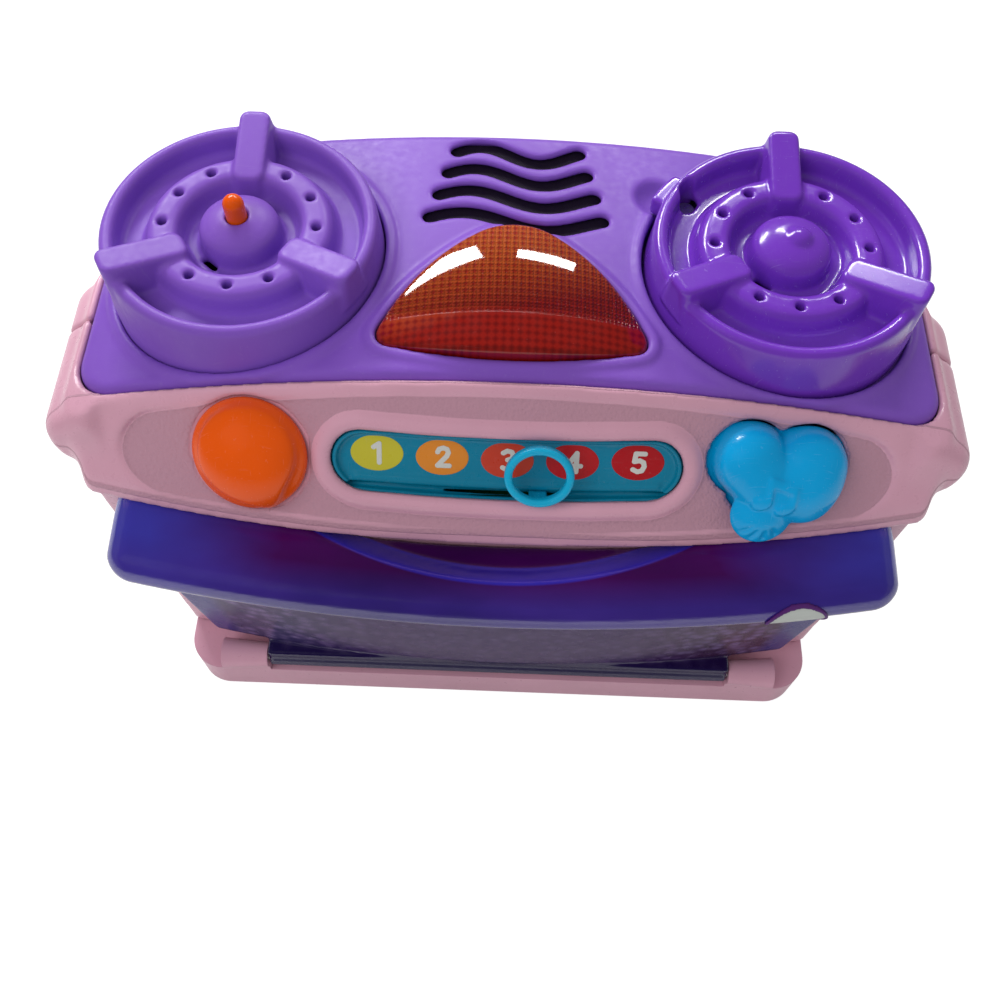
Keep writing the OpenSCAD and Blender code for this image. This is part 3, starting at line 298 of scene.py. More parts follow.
def pebbled(name, colour):
    """Glossy moulding whose sunk panel on the slope is matt and finely pebbled, and darkened there by painted shade.
    """
    mat = plastic(name, colour, 0.3, soft=0.0004)
    n = Nodes(name, mat)
    x, y, z = n.axes()
    c, s = math.cos(TILT), math.sin(TILT)
    rise = n.math("MULTIPLY", n.math("SUBTRACT", z, CREST * MM), s)
    out = n.math("ADD", rise, n.math("MULTIPLY", n.math("SUBTRACT", y, FACE_Y * MM), -c))
    lift = n.math("ADD", out, FACE_R * MM)
    radius = n.reach(x, lift)
    depth = n.math("SUBTRACT", FACE_R * MM, radius)
    mask = between(n, depth, 0.0007, 0.0011, 0.00015)
    pebble = n.math("MULTIPLY", n.pebbles(900.0, 1.0, 1.0), 0.8)
    pebble = n.math("ADD", pebble, n.math("MULTIPLY", n.noise(1500, 2), 0.6))
    n.put("Normal", n.bump(n.math("MULTIPLY", pebble, mask), 0.00035, 0.8, n.taken("Normal")))
    # painted shade: the sunk panel's colour is darkened to 0.7 of the pink
    n.put("Base Color", n.blend(n.math("MULTIPLY", mask, 0.8), n.taken("Base Color"), tone(colour, 0.7)))
    n.put("Roughness", n.math("ADD", n.taken("Roughness"), n.math("MULTIPLY", mask, 0.2)))
    return mat


def woven(name, colour):
    """Plain dark weave of thin threads."""
    n = Nodes(name)
    x, y, _ = n.axes()
    wide = 0.0004
    over, under = (n.math("PINGPONG", n.math(way, x, y), wide) for way in ("ADD", "SUBTRACT"))
    thread = n.math("MAXIMUM", over, under)
    light = n.ramp(thread, wide / 2, wide)
    n.put("Base Color", n.blend(light, tone(colour, 0.5), tone(colour, 1.3)))
    n.put("Roughness", n.uneven(400, 2, 0.7, 0.9))
    n.put("Normal", n.bump(thread, 0.6))
    return n.mat


def prism_lens(name):
    """Amber lens: clear gloss on top of a grid of small prisms; painted light makes it paler and oranger towards the
    back and left, where the window lamps stand, and redder towards the front, with a painted glint across each
    prism.
    """
    n = Nodes(name)
    x, y, _ = n.axes()
    pitch = 0.0012
    u, v = (n.math("PINGPONG", c, pitch) for c in (x, y))
    across, along = (n.math("ABSOLUTE", n.math("SUBTRACT", c, pitch / 2)) for c in (u, v))
    peak = n.math("MAXIMUM", across, along)
    # painted light: paler and oranger towards the back and left, redder and darker towards the front
    far = n.ramp(n.math("ADD", y, n.math("MULTIPLY", x, -0.25)), -0.004, 0.03)
    # painted glint on each prism: every cell grades from the shaded colour to the lit one
    cell = n.ramp(n.math("ADD", u, v), 0.0004, 0.0016)
    # deep holds the painted shade of the amber, lit its painted light
    deep = n.blend(far, srgb(104, 2, 0), srgb(182, 44, 4))
    lit = n.blend(far, srgb(150, 20, 6), srgb(240, 128, 40))
    n.put("Base Color", n.blend(n.math("MULTIPLY", cell, 0.6), deep, lit))
    n.put("Specular IOR Level", 0.25)
    band = n.ramp(y, -0.0055, -0.0035)
    n.put("Normal", n.bump(n.math("MULTIPLY", peak, band), -1.6, 1.0))
    n.put("Roughness", n.uneven(260, 3, 0.16, 0.28))
    n.put("Coat Weight", 0.75)
    n.put("Coat Roughness", 0.04)
    n.put("Coat Normal", n.bump(n.noise(40, 2), 0.00004))
    return n.mat


def door_plastic(name):
    """Tinted moulding of the handle bar, with painted light and shade: blue where the plastic is thin and light
    passes through it, at the ends and on the scoop's lip, and near black-violet painted shade in front of the dark
    oven.
    """
    n = Nodes(name)
    x, y, z = n.axes()
    cloud = n.ramp(n.noise(26, 4, (0.5, 1, 2)), 0.35, 0.68)
    # painted light: the ends turn blue where light passes through the thin plastic
    ends = n.ramp(n.math("ADD", n.math("ABSOLUTE", x), n.math("MULTIPLY", cloud, 0.022)), 0.088, 0.128)
    # painted shade: near black-violet in the middle, where the dark oven lies behind
    deep = n.blend(cloud, srgb(46, 6, 66), srgb(74, 10, 92))
    body = n.blend(ends, deep, srgb(62, 58, 170))
    nose = n.ramp(n.reach(x, n.math("SUBTRACT", y, BOW_Y * MM)), 0.6445, 0.6545)
    body = n.blend(n.math("MULTIPLY", nose, 0.85), body, n.blend(cloud, srgb(48, 34, 120), srgb(66, 48, 150)))
    middle = n.math("ADD", y, (SCOOP_Y - SCOOP_R) * MM)
    inward = n.math("SUBTRACT", SCOOP_R * MM, n.reach(x, middle))
    # painted light: the scoop's thin lip is painted bright blue where light passes through it
    lit_through_lip = n.math("MULTIPLY", between(n, inward, 0.0002, 0.0082, 0.0008), n.ramp(z, 0.1295, 0.1315))
    body = n.blend(n.math("MULTIPLY", lit_through_lip, 0.9), body, n.blend(cloud, srgb(40, 32, 160), srgb(58, 50, 200)))
    n.put("Base Color", body)
    n.put("Roughness", n.uneven(200, 3, 0.1, 0.18))
    n.put("Transmission Weight", 0.1)
    n.put("Specular IOR Level", 0.12)
    n.put("Coat Weight", 0.12)
    n.put("Coat Roughness", 0.05)
    n.put("Normal", n.bump(n.noise(60, 2), 0.00006))
    return n.mat


def door_window(name):
    """Dark see-through window with the print's pebbles behind it, and the hinge rod under it, painted dark navy as
    shade.
    """
    n = Nodes(name)
    x, _, z = n.axes()
    across = n.math("ABSOLUTE", x)
    ends = n.ramp(across, 0.045, 0.085)
    spots = n.ramp(n.pebbles(190.0, 0.4, 0.85), 0.15, 0.6, 1.0, 0.0)
    spots = n.math("MULTIPLY", spots, n.ramp(ends, 0, 1, 0.3, 1.0))
    side = n.ramp(x, -0.09, 0.09)
    ground = n.blend(ends, srgb(52, 22, 84), n.blend(side, srgb(56, 48, 92), srgb(60, 32, 66)))
    pale = n.blend(n.noise(30, 2), srgb(128, 112, 160), srgb(108, 74, 132))
    body = n.blend(n.math("MULTIPLY", spots, 0.75), ground, pale)
    body = n.blend(n.ramp(across, 0.103, 0.108), body, srgb(56, 48, 120))
    # painted shade: the hinge rod is the door's own violet plastic, painted dark navy for the shade it lies in
    hinge = n.ramp(z, 0.034, 0.038, 1.0, 0.0)
    n.put("Base Color", n.blend(hinge, body, srgb(26, 12, 66)))
    n.put("Roughness", n.uneven(200, 3, 0.2, 0.3))
    n.put("Transmission Weight", 0.12)
    n.put("Specular IOR Level", 0.01)
    n.put("Normal", n.bump(n.noise(60, 2), 0.00006))
    return n.mat


def picture_print(name):
    """Printed sheet: blurred lilac pebbles that turn greyer to the left and redder to the right."""
    n = Nodes(name)
    spots = n.ramp(n.pebbles(150.0, 0.6, 0.9), 0.1, 0.55, 1.0, 0.0)
    side = n.ramp(n.axes()[0], -0.09, 0.09)
    ground = n.blend(side, srgb(70, 66, 104), srgb(80, 42, 84))
    pale = n.blend(n.noise(30, 2), srgb(150, 140, 190), srgb(128, 92, 160))
    n.put("Base Color", n.blend(n.math("MULTIPLY", spots, 0.8), ground, pale))
    n.put("Roughness", n.uneven(300, 2, 0.3, 0.45))
    n.put("Normal", n.bump(n.noise(500, 2), 0.00001))
    return n.mat


def metal(name, colour, rough=0.3):
    """Plated or bare metal with drawn lines and small stains."""
    n = Nodes(name)
    stain = n.ramp(n.noise(300, 4), 0.45, 0.7)
    n.put("Base Color", n.blend(stain, colour, tone(colour, 0.72)))
    n.put("Metallic", 1.0)
    lines = n.noise(500, 3, (1, 1, 30))
    n.put("Roughness", n.ramp(lines, 0.3, 0.7, rough * 0.8, rough * 1.4))
    n.put("Normal", n.bump(lines, 0.00001))
    return n.mat


def clear_plastic(name, colour, rough=0.06, transmission=0.9, ior=1.46):
    """See-through moulded plastic with cloudy colour and light scratches."""
    n = Nodes(name)
    cloud = n.ramp(n.noise(18, 3), 0.35, 0.65)
    n.put("Base Color", n.blend(cloud, tone(colour, 0.9), tone(colour, 1.08)))
    scratches = n.ramp(n.noise(200, 2, (1, 18, 1)), 0.62, 0.74, 0.0, 0.12)
    gloss = n.uneven(300, 2, rough * 0.7, rough * 1.3)
    n.put("Roughness", n.math("ADD", gloss, scratches))
    n.put("Transmission Weight", transmission)
    n.put("IOR", ior)
    n.put("Normal", n.bump(n.noise(60, 2), 0.00008))
    return n.mat


PURPLE = srgb(126, 82, 186)
VIOLET = srgb(112, 52, 185)
PINK = srgb(212, 158, 178)
ORANGE = srgb(234, 86, 0)
CYAN = srgb(0, 165, 228)
TRAY = srgb(0, 125, 158)
RING = srgb(8, 170, 212)
CHALK = srgb(205, 205, 200)

purple = plastic("purple_moulding", PURPLE, 0.4, specular=0.22)
violet = plastic("violet_moulding", VIOLET, 0.2, coat=0.3)
pink = plastic("pink_moulding", PINK, 0.32)
orange = plastic("orange_moulding", ORANGE, 0.22, coat=0.12, specular=0.3)
cyan = plastic("cyan_moulding", CYAN, 0.22, coat=0.15, specular=0.3)
tray = plastic("tray_moulding", TRAY, 0.3)
ring = plastic("ring_moulding", RING, 0.25)
pink_panel = pebbled("pink_panel", PINK)
white = plastic("white_moulding", srgb(225, 225, 220), 0.4)
black = plastic("black_moulding", srgb(30, 30, 32), 0.4)
inner = plastic("inner_moulding", srgb(84, 24, 110), 0.5)
board = plastic("board_green", srgb(20, 92, 54), 0.3)
rubber = plastic("rubber_grey", srgb(120, 120, 124), 0.6)
steel = metal("steel_plated", (0.62, 0.63, 0.65, 1))
brass = metal("brass_bare", (0.72, 0.52, 0.22, 1))
sleeve = plastic("cell_sleeve", srgb(60, 62, 66), 0.3)
lamp = clear_plastic("lamp_clear", srgb(250, 240, 200))
amber = prism_lens("amber_lens")
door_blue = door_plastic("door_violet")
door_glass = door_window("door_clear")
picture = picture_print("picture_print")
cloth = woven("grille_weave", srgb(34, 20, 46))
badge = plastic("badge_print", srgb(190, 195, 190), 0.35)
chalk = plastic("print_pale", CHALK, 0.35, soft=0)

FINISH = {
    "purple_shell": purple, "violet_shell": violet, "pink_shell": pink, "orange_knob": orange, "amber_lens": amber,
    "turquoise": tray, "ring_blue": ring, "hat_blue": cyan, "door_violet": door_blue, "inner_purple": inner,
    "picture": picture, "badge": badge, "white_plastic": white, "black_plastic": black, "rubber": rubber,
    "steel": steel, "brass": brass, "board": board, "lamp": lamp, "cell": sleeve,
}


# ---------- fields: signed distances on a regular grid, negative inside ----------

class Grid:
    """Regular grid over a box, with its three coordinates ready to broadcast."""

    def __init__(self, low, high, step):
        counts = [int(math.ceil((b - a) / step)) + 1 for a, b in zip(low, high)]
        axes = [np.arange(n, dtype=np.float32) * step + a for n, a in zip(counts, low)]
        self.low, self.step, self.counts = low, step, counts
        self.x, self.y, self.z = axes[0][:, None, None], axes[1][None, :, None], axes[2][None, None, :]


def both(a, b, r=0.0):
    """Intersection, with its convex edge rounded to radius r."""
    if isinstance(r, (int, float)) and r == 0:
        return np.maximum(a, b)
    return np.minimum(-r, np.maximum(a, b)) + np.hypot(np.maximum(r + a, 0), np.maximum(r + b, 0))


def either(a, b, r=0.0):
    """Union, with its inner corner filled to radius r."""
    return -both(-a, -b, r)


def without(a, b, r=0.0):
    return both(a, -b, r)


def disc(x, y, cx, cy, r):
    return np.hypot(x - cx, y - cy) - r


def slab(v, lo, hi):
    return np.abs(v - (lo + hi) / 2) - (hi - lo) / 2


def box3(u, v, w, size, r=0.0):
    """Rounded box about the origin, half sizes in size."""
    d = [np.abs(c) - h + r for c, h in zip((u, v, w), size)]
    out = np.sqrt(sum(np.maximum(c, 0) ** 2 for c in d))
    return out + np.minimum(np.maximum(np.maximum(d[0], d[1]), d[2]), 0) - r


def polygon(x, y, points):
    """Exact distance to a closed outline, negative inside."""
    x, y = np.broadcast_arrays(x, y)
    best = np.full(x.shape, 1e9, np.float32)
    inside = np.zeros(x.shape, bool)
    for (ax, ay), (bx, by) in zip(points, points[1:] + points[:1]):
        ex, ey = bx - ax, by - ay
        if not ex and not ey:
            continue
        t = np.clip(((x - ax) * ex + (y - ay) * ey) / (ex * ex + ey * ey), 0, 1)
        best = np.minimum(best, (x - ax - t * ex) ** 2 + (y - ay - t * ey) ** 2)
        if ey:
            inside ^= ((ay > y) != (by > y)) & (x < ax + (y - ay) * ex / ey)
    return np.where(inside, -1, 1) * np.sqrt(best)


def trail(x, y, points):
    """Distance to an open line of points."""
    best = 1e9
    for (ax, ay), (bx, by) in zip(points, points[1:]):
        ex, ey = bx - ax, by - ay
        t = np.clip(((x - ax) * ex + (y - ay) * ey) / (ex * ex + ey * ey), 0, 1)
        best = np.minimum(best, (x - ax - t * ex) ** 2 + (y - ay - t * ey) ** 2)
    return np.sqrt(best)


def corner(q, p, r):
    """Distance to two edges that meet in a corner of radius r."""
    return np.hypot(np.maximum(q, 0), np.maximum(p, 0)) + np.minimum(np.maximum(q, p), 0) - r


def rounded_plan(x, y, half, y0, y1, rf, rb):
    """Rectangle in plan with radius rf at the front corners and rb at the back ones."""
    mid = (y0 + y1) / 2
    r = np.where(y < mid, rf, rb)
    return corner(np.abs(x) - half + r, np.abs(y - mid) - (y1 - y0) / 2 + r, r)


def soften(field, step, radius):
    """Blurs a field, which rounds its edges and fills its corners by about radius."""
    if radius < step:
        for axis in range(3):
            middle = np.moveaxis(field, axis, 0)
            out = middle.astype(np.float32).copy()
            out[1:-1] = 0.5 * middle[1:-1] + 0.25 * (middle[:-2] + middle[2:])
            field = np.moveaxis(out, 0, axis)
        return field
    width = max(1, int(round(radius / step)))
    for axis in range(3):
        pad = [(width, width) if a == axis else (0, 0) for a in range(3)]
        for _ in range(2):
            run = np.cumsum(np.pad(field, pad, mode="edge"), axis=axis, dtype=np.float64)
            head = np.take(run, range(2 * width, run.shape[axis]), axis=axis)
            tail = np.take(run, range(0, run.shape[axis] - 2 * width), axis=axis)
            first = np.take(np.pad(field, pad, mode="edge"), range(0, run.shape[axis] - 2 * width), axis=axis)
            field = ((head - tail + first) / (2 * width + 1)).astype(np.float32)
    return field


def skin(grid, field, name, mat, body, replaced=(), place=None):
    """Turns a field into a smooth-shaded mesh piece that rides on a body."""
    field = np.ascontiguousarray(np.broadcast_to(field, grid.counts), np.float32)
    volume = vdb.FloatGrid(1e3)
    volume.copyFromArray(np.clip(field, -4 * grid.step, 4 * grid.step), tolerance=0)
    points, quads = volume.convertToQuads(isovalue=0)
    points = (points * grid.step + np.array(grid.low)) * MM
    mesh = bpy.data.meshes.new(name)
    mesh.vertices.add(len(points))
    mesh.vertices.foreach_set("co", points.astype(np.float32).ravel())
    mesh.loops.add(len(quads) * 4)
    mesh.loops.foreach_set("vertex_index", quads.astype(np.int32)[:, ::-1].ravel())
    mesh.polygons.add(len(quads))
    mesh.polygons.foreach_set("loop_start", np.arange(len(quads), dtype=np.int32) * 4)
    mesh.update(calc_edges=True)
    mesh.validate()
    mesh.polygons.foreach_set("use_smooth", np.ones(len(mesh.polygons), bool))
    if place is not None:
        mesh.transform(place)
    return attach(bpy.data.objects.new(name, mesh), mat, body, replaced)


def attach(obj, mat, body, replaced=()):
    """Links a piece, gives it its material and its body, and hides the parts that it stands for."""
    obj.data.materials.append(mat)
    bpy.context.collection.objects.link(obj)
    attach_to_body(obj, body)
    if replaced:
        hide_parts(*replaced)
    return obj


# ---------- the object's own frames and forms ----------

def crown(g, drop=0.0):
    return np.hypot(g.x, g.z - (CREST - CROWN_R)) - (CROWN_R - drop)


def slope(g):
    """Distances up the fascia's slope and out of it."""
    a, b = g.y - FACE_Y, g.z - CREST
    return math.sin(TILT) * a + math.cos(TILT) * b, math.sin(TILT) * b - math.cos(TILT) * a


def bow(g):
    """Distance from the bow's centre, in plan."""
    return np.hypot(g.x, g.y - BOW_Y)


def fascia(g, drop=0.0):
    return np.hypot(g.x, slope(g)[1] + FACE_R) - (FACE_R - drop)


FLAT = shift(0, FACE_Y, CREST) @ Matrix.Rotation(math.pi / 2 - TILT, 4, "X")


def spot(x, s):
    """Frame on the bowed fascia at x, s down the slope: right, up the slope, outwards."""
    lean = Matrix.Rotation(math.asin(x / FACE_R), 4, "Y")
    return FLAT @ shift(0, -s, -FACE_R) @ lean @ shift(0, 0, FACE_R)


def seen_from(g, matrix):
    """A grid's coordinates in the frame of a matrix, in millimetres."""
    m = matrix.inverted()
    return [m[i][0] * g.x + m[i][1] * g.y + m[i][2] * g.z + m[i][3] / MM for i in range(3)]


def stadium(u, v, half, h):
    return np.hypot(np.maximum(np.abs(u) - half + h, 0), v) - h


def sag(u):
    """How far the number slot droops between its ends."""
    return 1.4 * np.clip(1 - (u / 50.0) ** 2, 0, 1)


def turn(u, v, angle):
    """Coordinates in a frame turned by an angle in degrees."""
    c, s = math.cos(math.radians(angle)), math.sin(math.radians(angle))
    return u * c + v * s, -u * s + v * c


def oval(u, v, a, b):
    """Near-exact distance to an oval."""
    k0, k1 = np.hypot(u / a, v / b), np.hypot(u / a ** 2, v / b ** 2)
    return k0 * (k0 - 1) / np.maximum(k1, 1e-6)


def dome(rho, w, r, h):
    """Half of a flattened ball on a plane, with radius r and height h."""
    w = np.maximum(w, 0)
    k0, k1 = np.hypot(rho / r, w / h), np.hypot(rho / r ** 2, w / h ** 2)
    return k0 * (k0 - 1) / np.maximum(k1, 1e-6)


def arc(cx, cy, r, a0, a1, n):
    """Points along an arc, from one angle to another in n steps."""
    angles = [math.radians(a0 + (a1 - a0) * i / n) for i in range(n + 1)]
    return [(cx + r * math.cos(a), cy + r * math.sin(a)) for a in angles]


def turned(g, cx, cy, z0, profile, reach, start=0.0):
    """Distance to a profile of (radius, height over z0) turned about an upright axis."""
    fine = g.step / 2
    radii = np.arange(start, reach, fine, dtype=np.float32)
    table = polygon(radii[:, None], g.z[0, 0][None, :] - z0, profile).astype(np.float32)
    rho = ((np.hypot(g.x - cx, g.y - cy) - start) / fine)[:, :, 0]
    i = np.clip(rho.astype(int), 0, len(radii) - 2)
    f = np.clip(rho - i, 0, 1)[..., None].astype(np.float32)
    return table[i] * (1 - f) + table[i + 1] * f


def on_slope(g, shape):
    """A flat shape in (x, up the slope) carried over the whole grid."""
    up = slope(g)[0][0]
    low, fine = float(up.min()), g.step / 2
    line = np.arange(low, float(up.max()) + 2 * fine, fine, dtype=np.float32)
    table = shape(g.x[:, 0], line[None, :]).astype(np.float32)
    return table[:, ((up - low) / fine).astype(int)]


# ---------- lens outline: six arcs that run into each other ----------

def lens_outline(grow):
    """Rounded triangle, larger all round by grow."""
    c1, r1, side_r, tip_r = (0, 12.1), 19.6, 92.8, 5.0

    def step(c, r, angle):
        return c[0] + r * math.cos(math.radians(angle)), c[1] + r * math.sin(math.radians(angle))
    c2 = step(c1, r1 - side_r, 54)
    c3 = step(c2, side_r - tip_r, 26)
    base_r = tip_r + c3[0] / math.cos(math.radians(76))
    c4 = step(c3, base_r - tip_r, 180 - 76)
    right = (arc(*c4, base_r + grow, -90, -76.5, 6) + arc(*c3, tip_r + grow, -76, 26, 10)
             + arc(*c2, side_r + grow, 27, 54, 9) + arc(*c1, r1 + grow, 58, 90, 6))
    return right + [(-x, y) for x, y in reversed(right)]


# ---------- burners ----------

def burner_profile(foot):
    """Half section of a burner: hub, channel, ring of holes, channel, rim and drum."""
    turns = [math.radians(15 * i) for i in range(1, 7)]
    hub = [(12.2 * math.sin(a), 3.5 - 5.25 * (1 - math.cos(a))) for a in turns]
    inner_channel = [(12.8, -6.2), (13.8, -7), (16.4, -7), (17.6, -5.4), (18.8, -1.6), (19.8, -0.5)]
    ring = [(21.4, 0), (25.4, 0), (27, -0.5), (28.2, -1.9)]
    outer_channel = [(29.3, -5.4), (30.6, -7), (36, -7), (37.2, -5.6)]
    rim = arc(39.9, -1.7, 2.2, 168, 15, 9)
    return ([(-5, foot), (-5, 3.5), (0, 3.5)] + hub + inner_channel + ring + outer_channel
            + rim + [(DRUM, -16), (DRUM, foot)])


def burner(g, cx, cy, foot, under):
    """Turned burner with pot rests, ring holes and a cored underside."""
    f = turned(g, cx, cy, BURNER[2], burner_profile(foot), DRUM + 8)
    x, y, z = g.x - cx, g.y - cy, g.z - BURNER[2]
    rho = np.hypot(x, y)
    for angle in (90, 210, 330):
        u, v = turn(x, y, angle)
        top = np.clip((u - 17) * 0.17 + 0.9, 0.6, 5.0)
        width = 4.75 + np.maximum(top - z, 0) * 0.17
        flank = (np.abs(v) - width) * 0.985
        ends = np.maximum(17.2 - u - np.maximum(top - z, 0) * 0.1, u - 43.0)
        blunt = both(flank, ends, 3.0)
        rest = both(blunt, (z - top) * 0.985, 0.9)
        f = either(f, np.maximum(rest, -7.5 - z), 0.9)
    for angle in (0, 30, 60, 120, 150, 180, 240, 270, 300):
        a = math.radians(angle)
        hole = both(disc(x, y, 23.5 * math.cos(a), 23.5 * math.sin(a), 1.5), -z - 6.2)
        f = without(f, hole, 0.45)
    u, v = turn(x, y, 231)
    f = without(f, box3(u - 13.4, v, z + 8.2, (0.9, 2.9, 4), 0.5), 0.3)
    return without(f, both(rho - (DRUM - under), z + 9.4), 1.0), x, y, z


def left_burner():
    cx, cy = -BURNER[0], BURNER[1]
    g = Grid((cx - 46, cy - 46, 166.6), (cx + 46, cy + 46, 202), 0.55)
    f, x, y, _ = burner(g, cx, cy, -28, 4.4)
    f = without(f, np.hypot(x, y) - 3.4, 0.3)
    skin(g, soften(f, g.step, 0.5), "left_burner", purple, "housing", ())


def right_burner():
    cx, cy = BURNER[0], BURNER[1]
    g = Grid((cx - 50, cy - 47, 160), (cx + 46, cy + 46, 202), 0.55)
    f, x, y, z = burner(g, cx, cy, -34.6, 2.8)
    bed = both(crown(g, 2.3), g.z - WELL - 0.2)
    f = without(f, bed)
    boss = np.sqrt((x - 1.2) ** 2 + y ** 2 + (z - 0.2) ** 2) - 5
    f = either(f, boss, 0.4)
    u, v = turn(x, y, LATCH)
    tab = both(np.abs(v) - 6.9, np.maximum(38 - u, np.hypot(u, v) - (DRUM + 3.6)), 1.2)
    tab = both(tab, slab(g.z, WELL + 8, WELL + 14.5), 0.8)
    f = either(f, tab, 0.5)
    sx, sy = 37 * math.cos(math.radians(144)), 37 * math.sin(math.radians(144))
    seat = both(disc(x, y, sx, sy, 4.2), np.maximum(z + 12.4, WELL + 0.3 - g.z))
    f = either(f, seat)
    along, across = (x - sx) * 0.5 + (y - sy) * 0.866, (x - sx) * 0.866 - (y - sy) * 0.5
    head = np.hypot(np.maximum(np.abs(along) - 0.9, 0), across) - 3.1
    hole = np.minimum(both(head, -12 - z), both(disc(x, y, sx, sy, 1.9), z + 11))
    f = without(f, hole, 0.3)
    skin(g, soften(f, g.step, 0.5), "right_burner", violet, "cover", ("battery_cover",))


# ---------- cooktop ----------

def grille_line(i):
    half, y = 27.4 - 2.5 * i, 37 + 9.6 * i
    return [(-half + 2 * half * k / 40, y - 3.4 * math.cos(math.pi * (0.62 + 2.05 * k / 40))) for k in range(41)]


def cooktop():
    """Crowned top with its skirt, burner beads, battery well, latch dent, lens bead and grille."""
    g = Grid((-137, -26, 160), (137, 77, 188), 0.75)
    plan = rounded_plan(g.x, g.y, TOP, -24, 75, 13, 31)
    outer = both(both(crown(g), plan, 3.2), -crown(g, 9))
    f = without(outer, both(crown(g, 2.4), plan + 2.4, 1.5))
    for side, ring_in, ring_out in ((-1, DRUM - 1, DRUM + 3.4), (1, DRUM + 0.7, DRUM + 3.4)):
        rho = np.hypot(g.x - side * BURNER[0], g.y - BURNER[1])
        bead = both(np.maximum(slab(rho, ring_in, ring_out), plan), np.maximum(crown(g, -1.2), -crown(g, 9)), 1.0)
        f = either(f, bead, 1.2)
        if side < 0:
            f = without(f, rho - DRUM - 0.05)
    rho = np.hypot(g.x - BURNER[0], g.y - BURNER[1])
    bed = both(crown(g, 2.5), g.z - WELL)
    f = without(f, both(rho - DRUM - 0.7, -bed), 0.4)
    floor_part = without(both(rho - DRUM - 3.4, plan + 0.2), both(crown(g, 4.9), g.z - WELL + 2.4))
    f = either(f, both(floor_part, bed))
    x, y = g.x - BURNER[0], g.y - BURNER[1]
    f = without(f, np.maximum(np.maximum(np.abs(x) - 23.75, np.abs(y) - 27.25), np.abs(g.z - 172) - 6))
    u, v = turn(x, y, LATCH)
    slot = np.maximum(np.abs(v) - 7.6, np.maximum(40 - u, np.hypot(u, v) - DRUM - 4.4))
    f = without(f, np.maximum(slot, WELL + 6.5 - g.z), 0.3)
    ball = np.sqrt((u - DRUM - 4.2) ** 2 + v ** 2 + (g.z - WELL - 14.0) ** 2)
    f = either(f, np.maximum(both(ball - 11.4, crown(g, 0.4)), DRUM + 0.9 - np.hypot(u, v)))
    f = without(f, ball - 9, 0.8)
    lens = polygon(g.x, g.y, lens_outline(0.0))
    f = either(f, both(lens - 3.4, np.maximum(crown(g, -1.2), CREST - 14 - g.z), 1.1), 1.6)
    f = without(f, lens - 0.2, 0.3)
    for i in range(4):
        f = without(f, trail(g.x, g.y, grille_line(i)) - 2.5, 0.8)
    skin(g, soften(f, g.step, 0.4), "cooktop_top", purple, "housing", ("cooktop",))


def grille_cloth():
    """Dark woven cloth that lies under the grille, in front of the speaker."""
    g = Grid((-36, 28, 174), (36, 76, 184), 0.5)
    f = both(rounded_plan(g.x, g.y, 34, 30, 74, 5, 5), np.maximum(crown(g, 2.9), -crown(g, 3.6)), 0.2)
    skin(g, f, "grille_cloth", cloth, "housing", ())


def lens():
    """Hollow lens with a crowned top."""
    g = Grid((-47, -20, 170), (47, 34, 194), 0.5)
    flat = polygon(g.x, g.y, lens_outline(0.0))
    r = (40 ** 2 + 7.5 ** 2) / 15
    ball = np.sqrt(g.x ** 2 + (g.y - 5) ** 2 + (g.z - (CREST + 7.5 - r)) ** 2) - r
    f = both(both(flat, ball, 1.6), CREST - 14 - g.z)
    f = without(f, both(both(flat + 2.2, ball + 2.2, 1.0), CREST - 20 - g.z))
    skin(g, f, "amber_window", amber, "housing", ("window_lens",))


# ---------- knob, hat button, ring and number tray ----------

def knob():
    """Low dome under a higher drop-shaped one that points the way, on a short stem."""
    g = Grid((-19.5, -19.5, -14), (19.5, 19.5, 13), 0.4)
    rho = np.hypot(g.x, g.y)
    w = g.z + 0.2
    wall_part = both(rho - 18, np.maximum(g.z - 0.3, -1.7 - g.z))
    low = np.minimum(both(dome(rho, w, 18, 6.4), -w), wall_part)
    drop = polygon(g.x, g.y, hull_of(1.0, 2.4, 14.7, 7.0, -16.2, 1.2))
    high = both(both(dome(rho, w, 18, 11.4), -w), drop, 0.8)
    f = either(low, high, 1.4)
    f = without(f, both(rho - 15.6, np.maximum(g.z - 1.4, 5 - rho)), 0.4)
    f = either(f, both(rho - 3, np.maximum(g.z - 1, -13.3 - g.z), 0.3), 0.3)
    skin(g, soften(f, g.step, 0.4), "timer_dome", orange, "knob", ("timer_knob",),
         spot(KNOB_X, LINE))


def hull_of(ax, ay, ar, bx, by, br):
    """Outline round two circles, the first larger."""
    gap = math.hypot(bx - ax, by - ay)
    way = math.degrees(math.atan2(by - ay, bx - ax))
    spread = math.degrees(math.acos((ar - br) / gap))
    return arc(ax, ay, ar, way + spread, way + 360 - spread, 40) + arc(bx, by, br, way - spread, way + spread, 12)


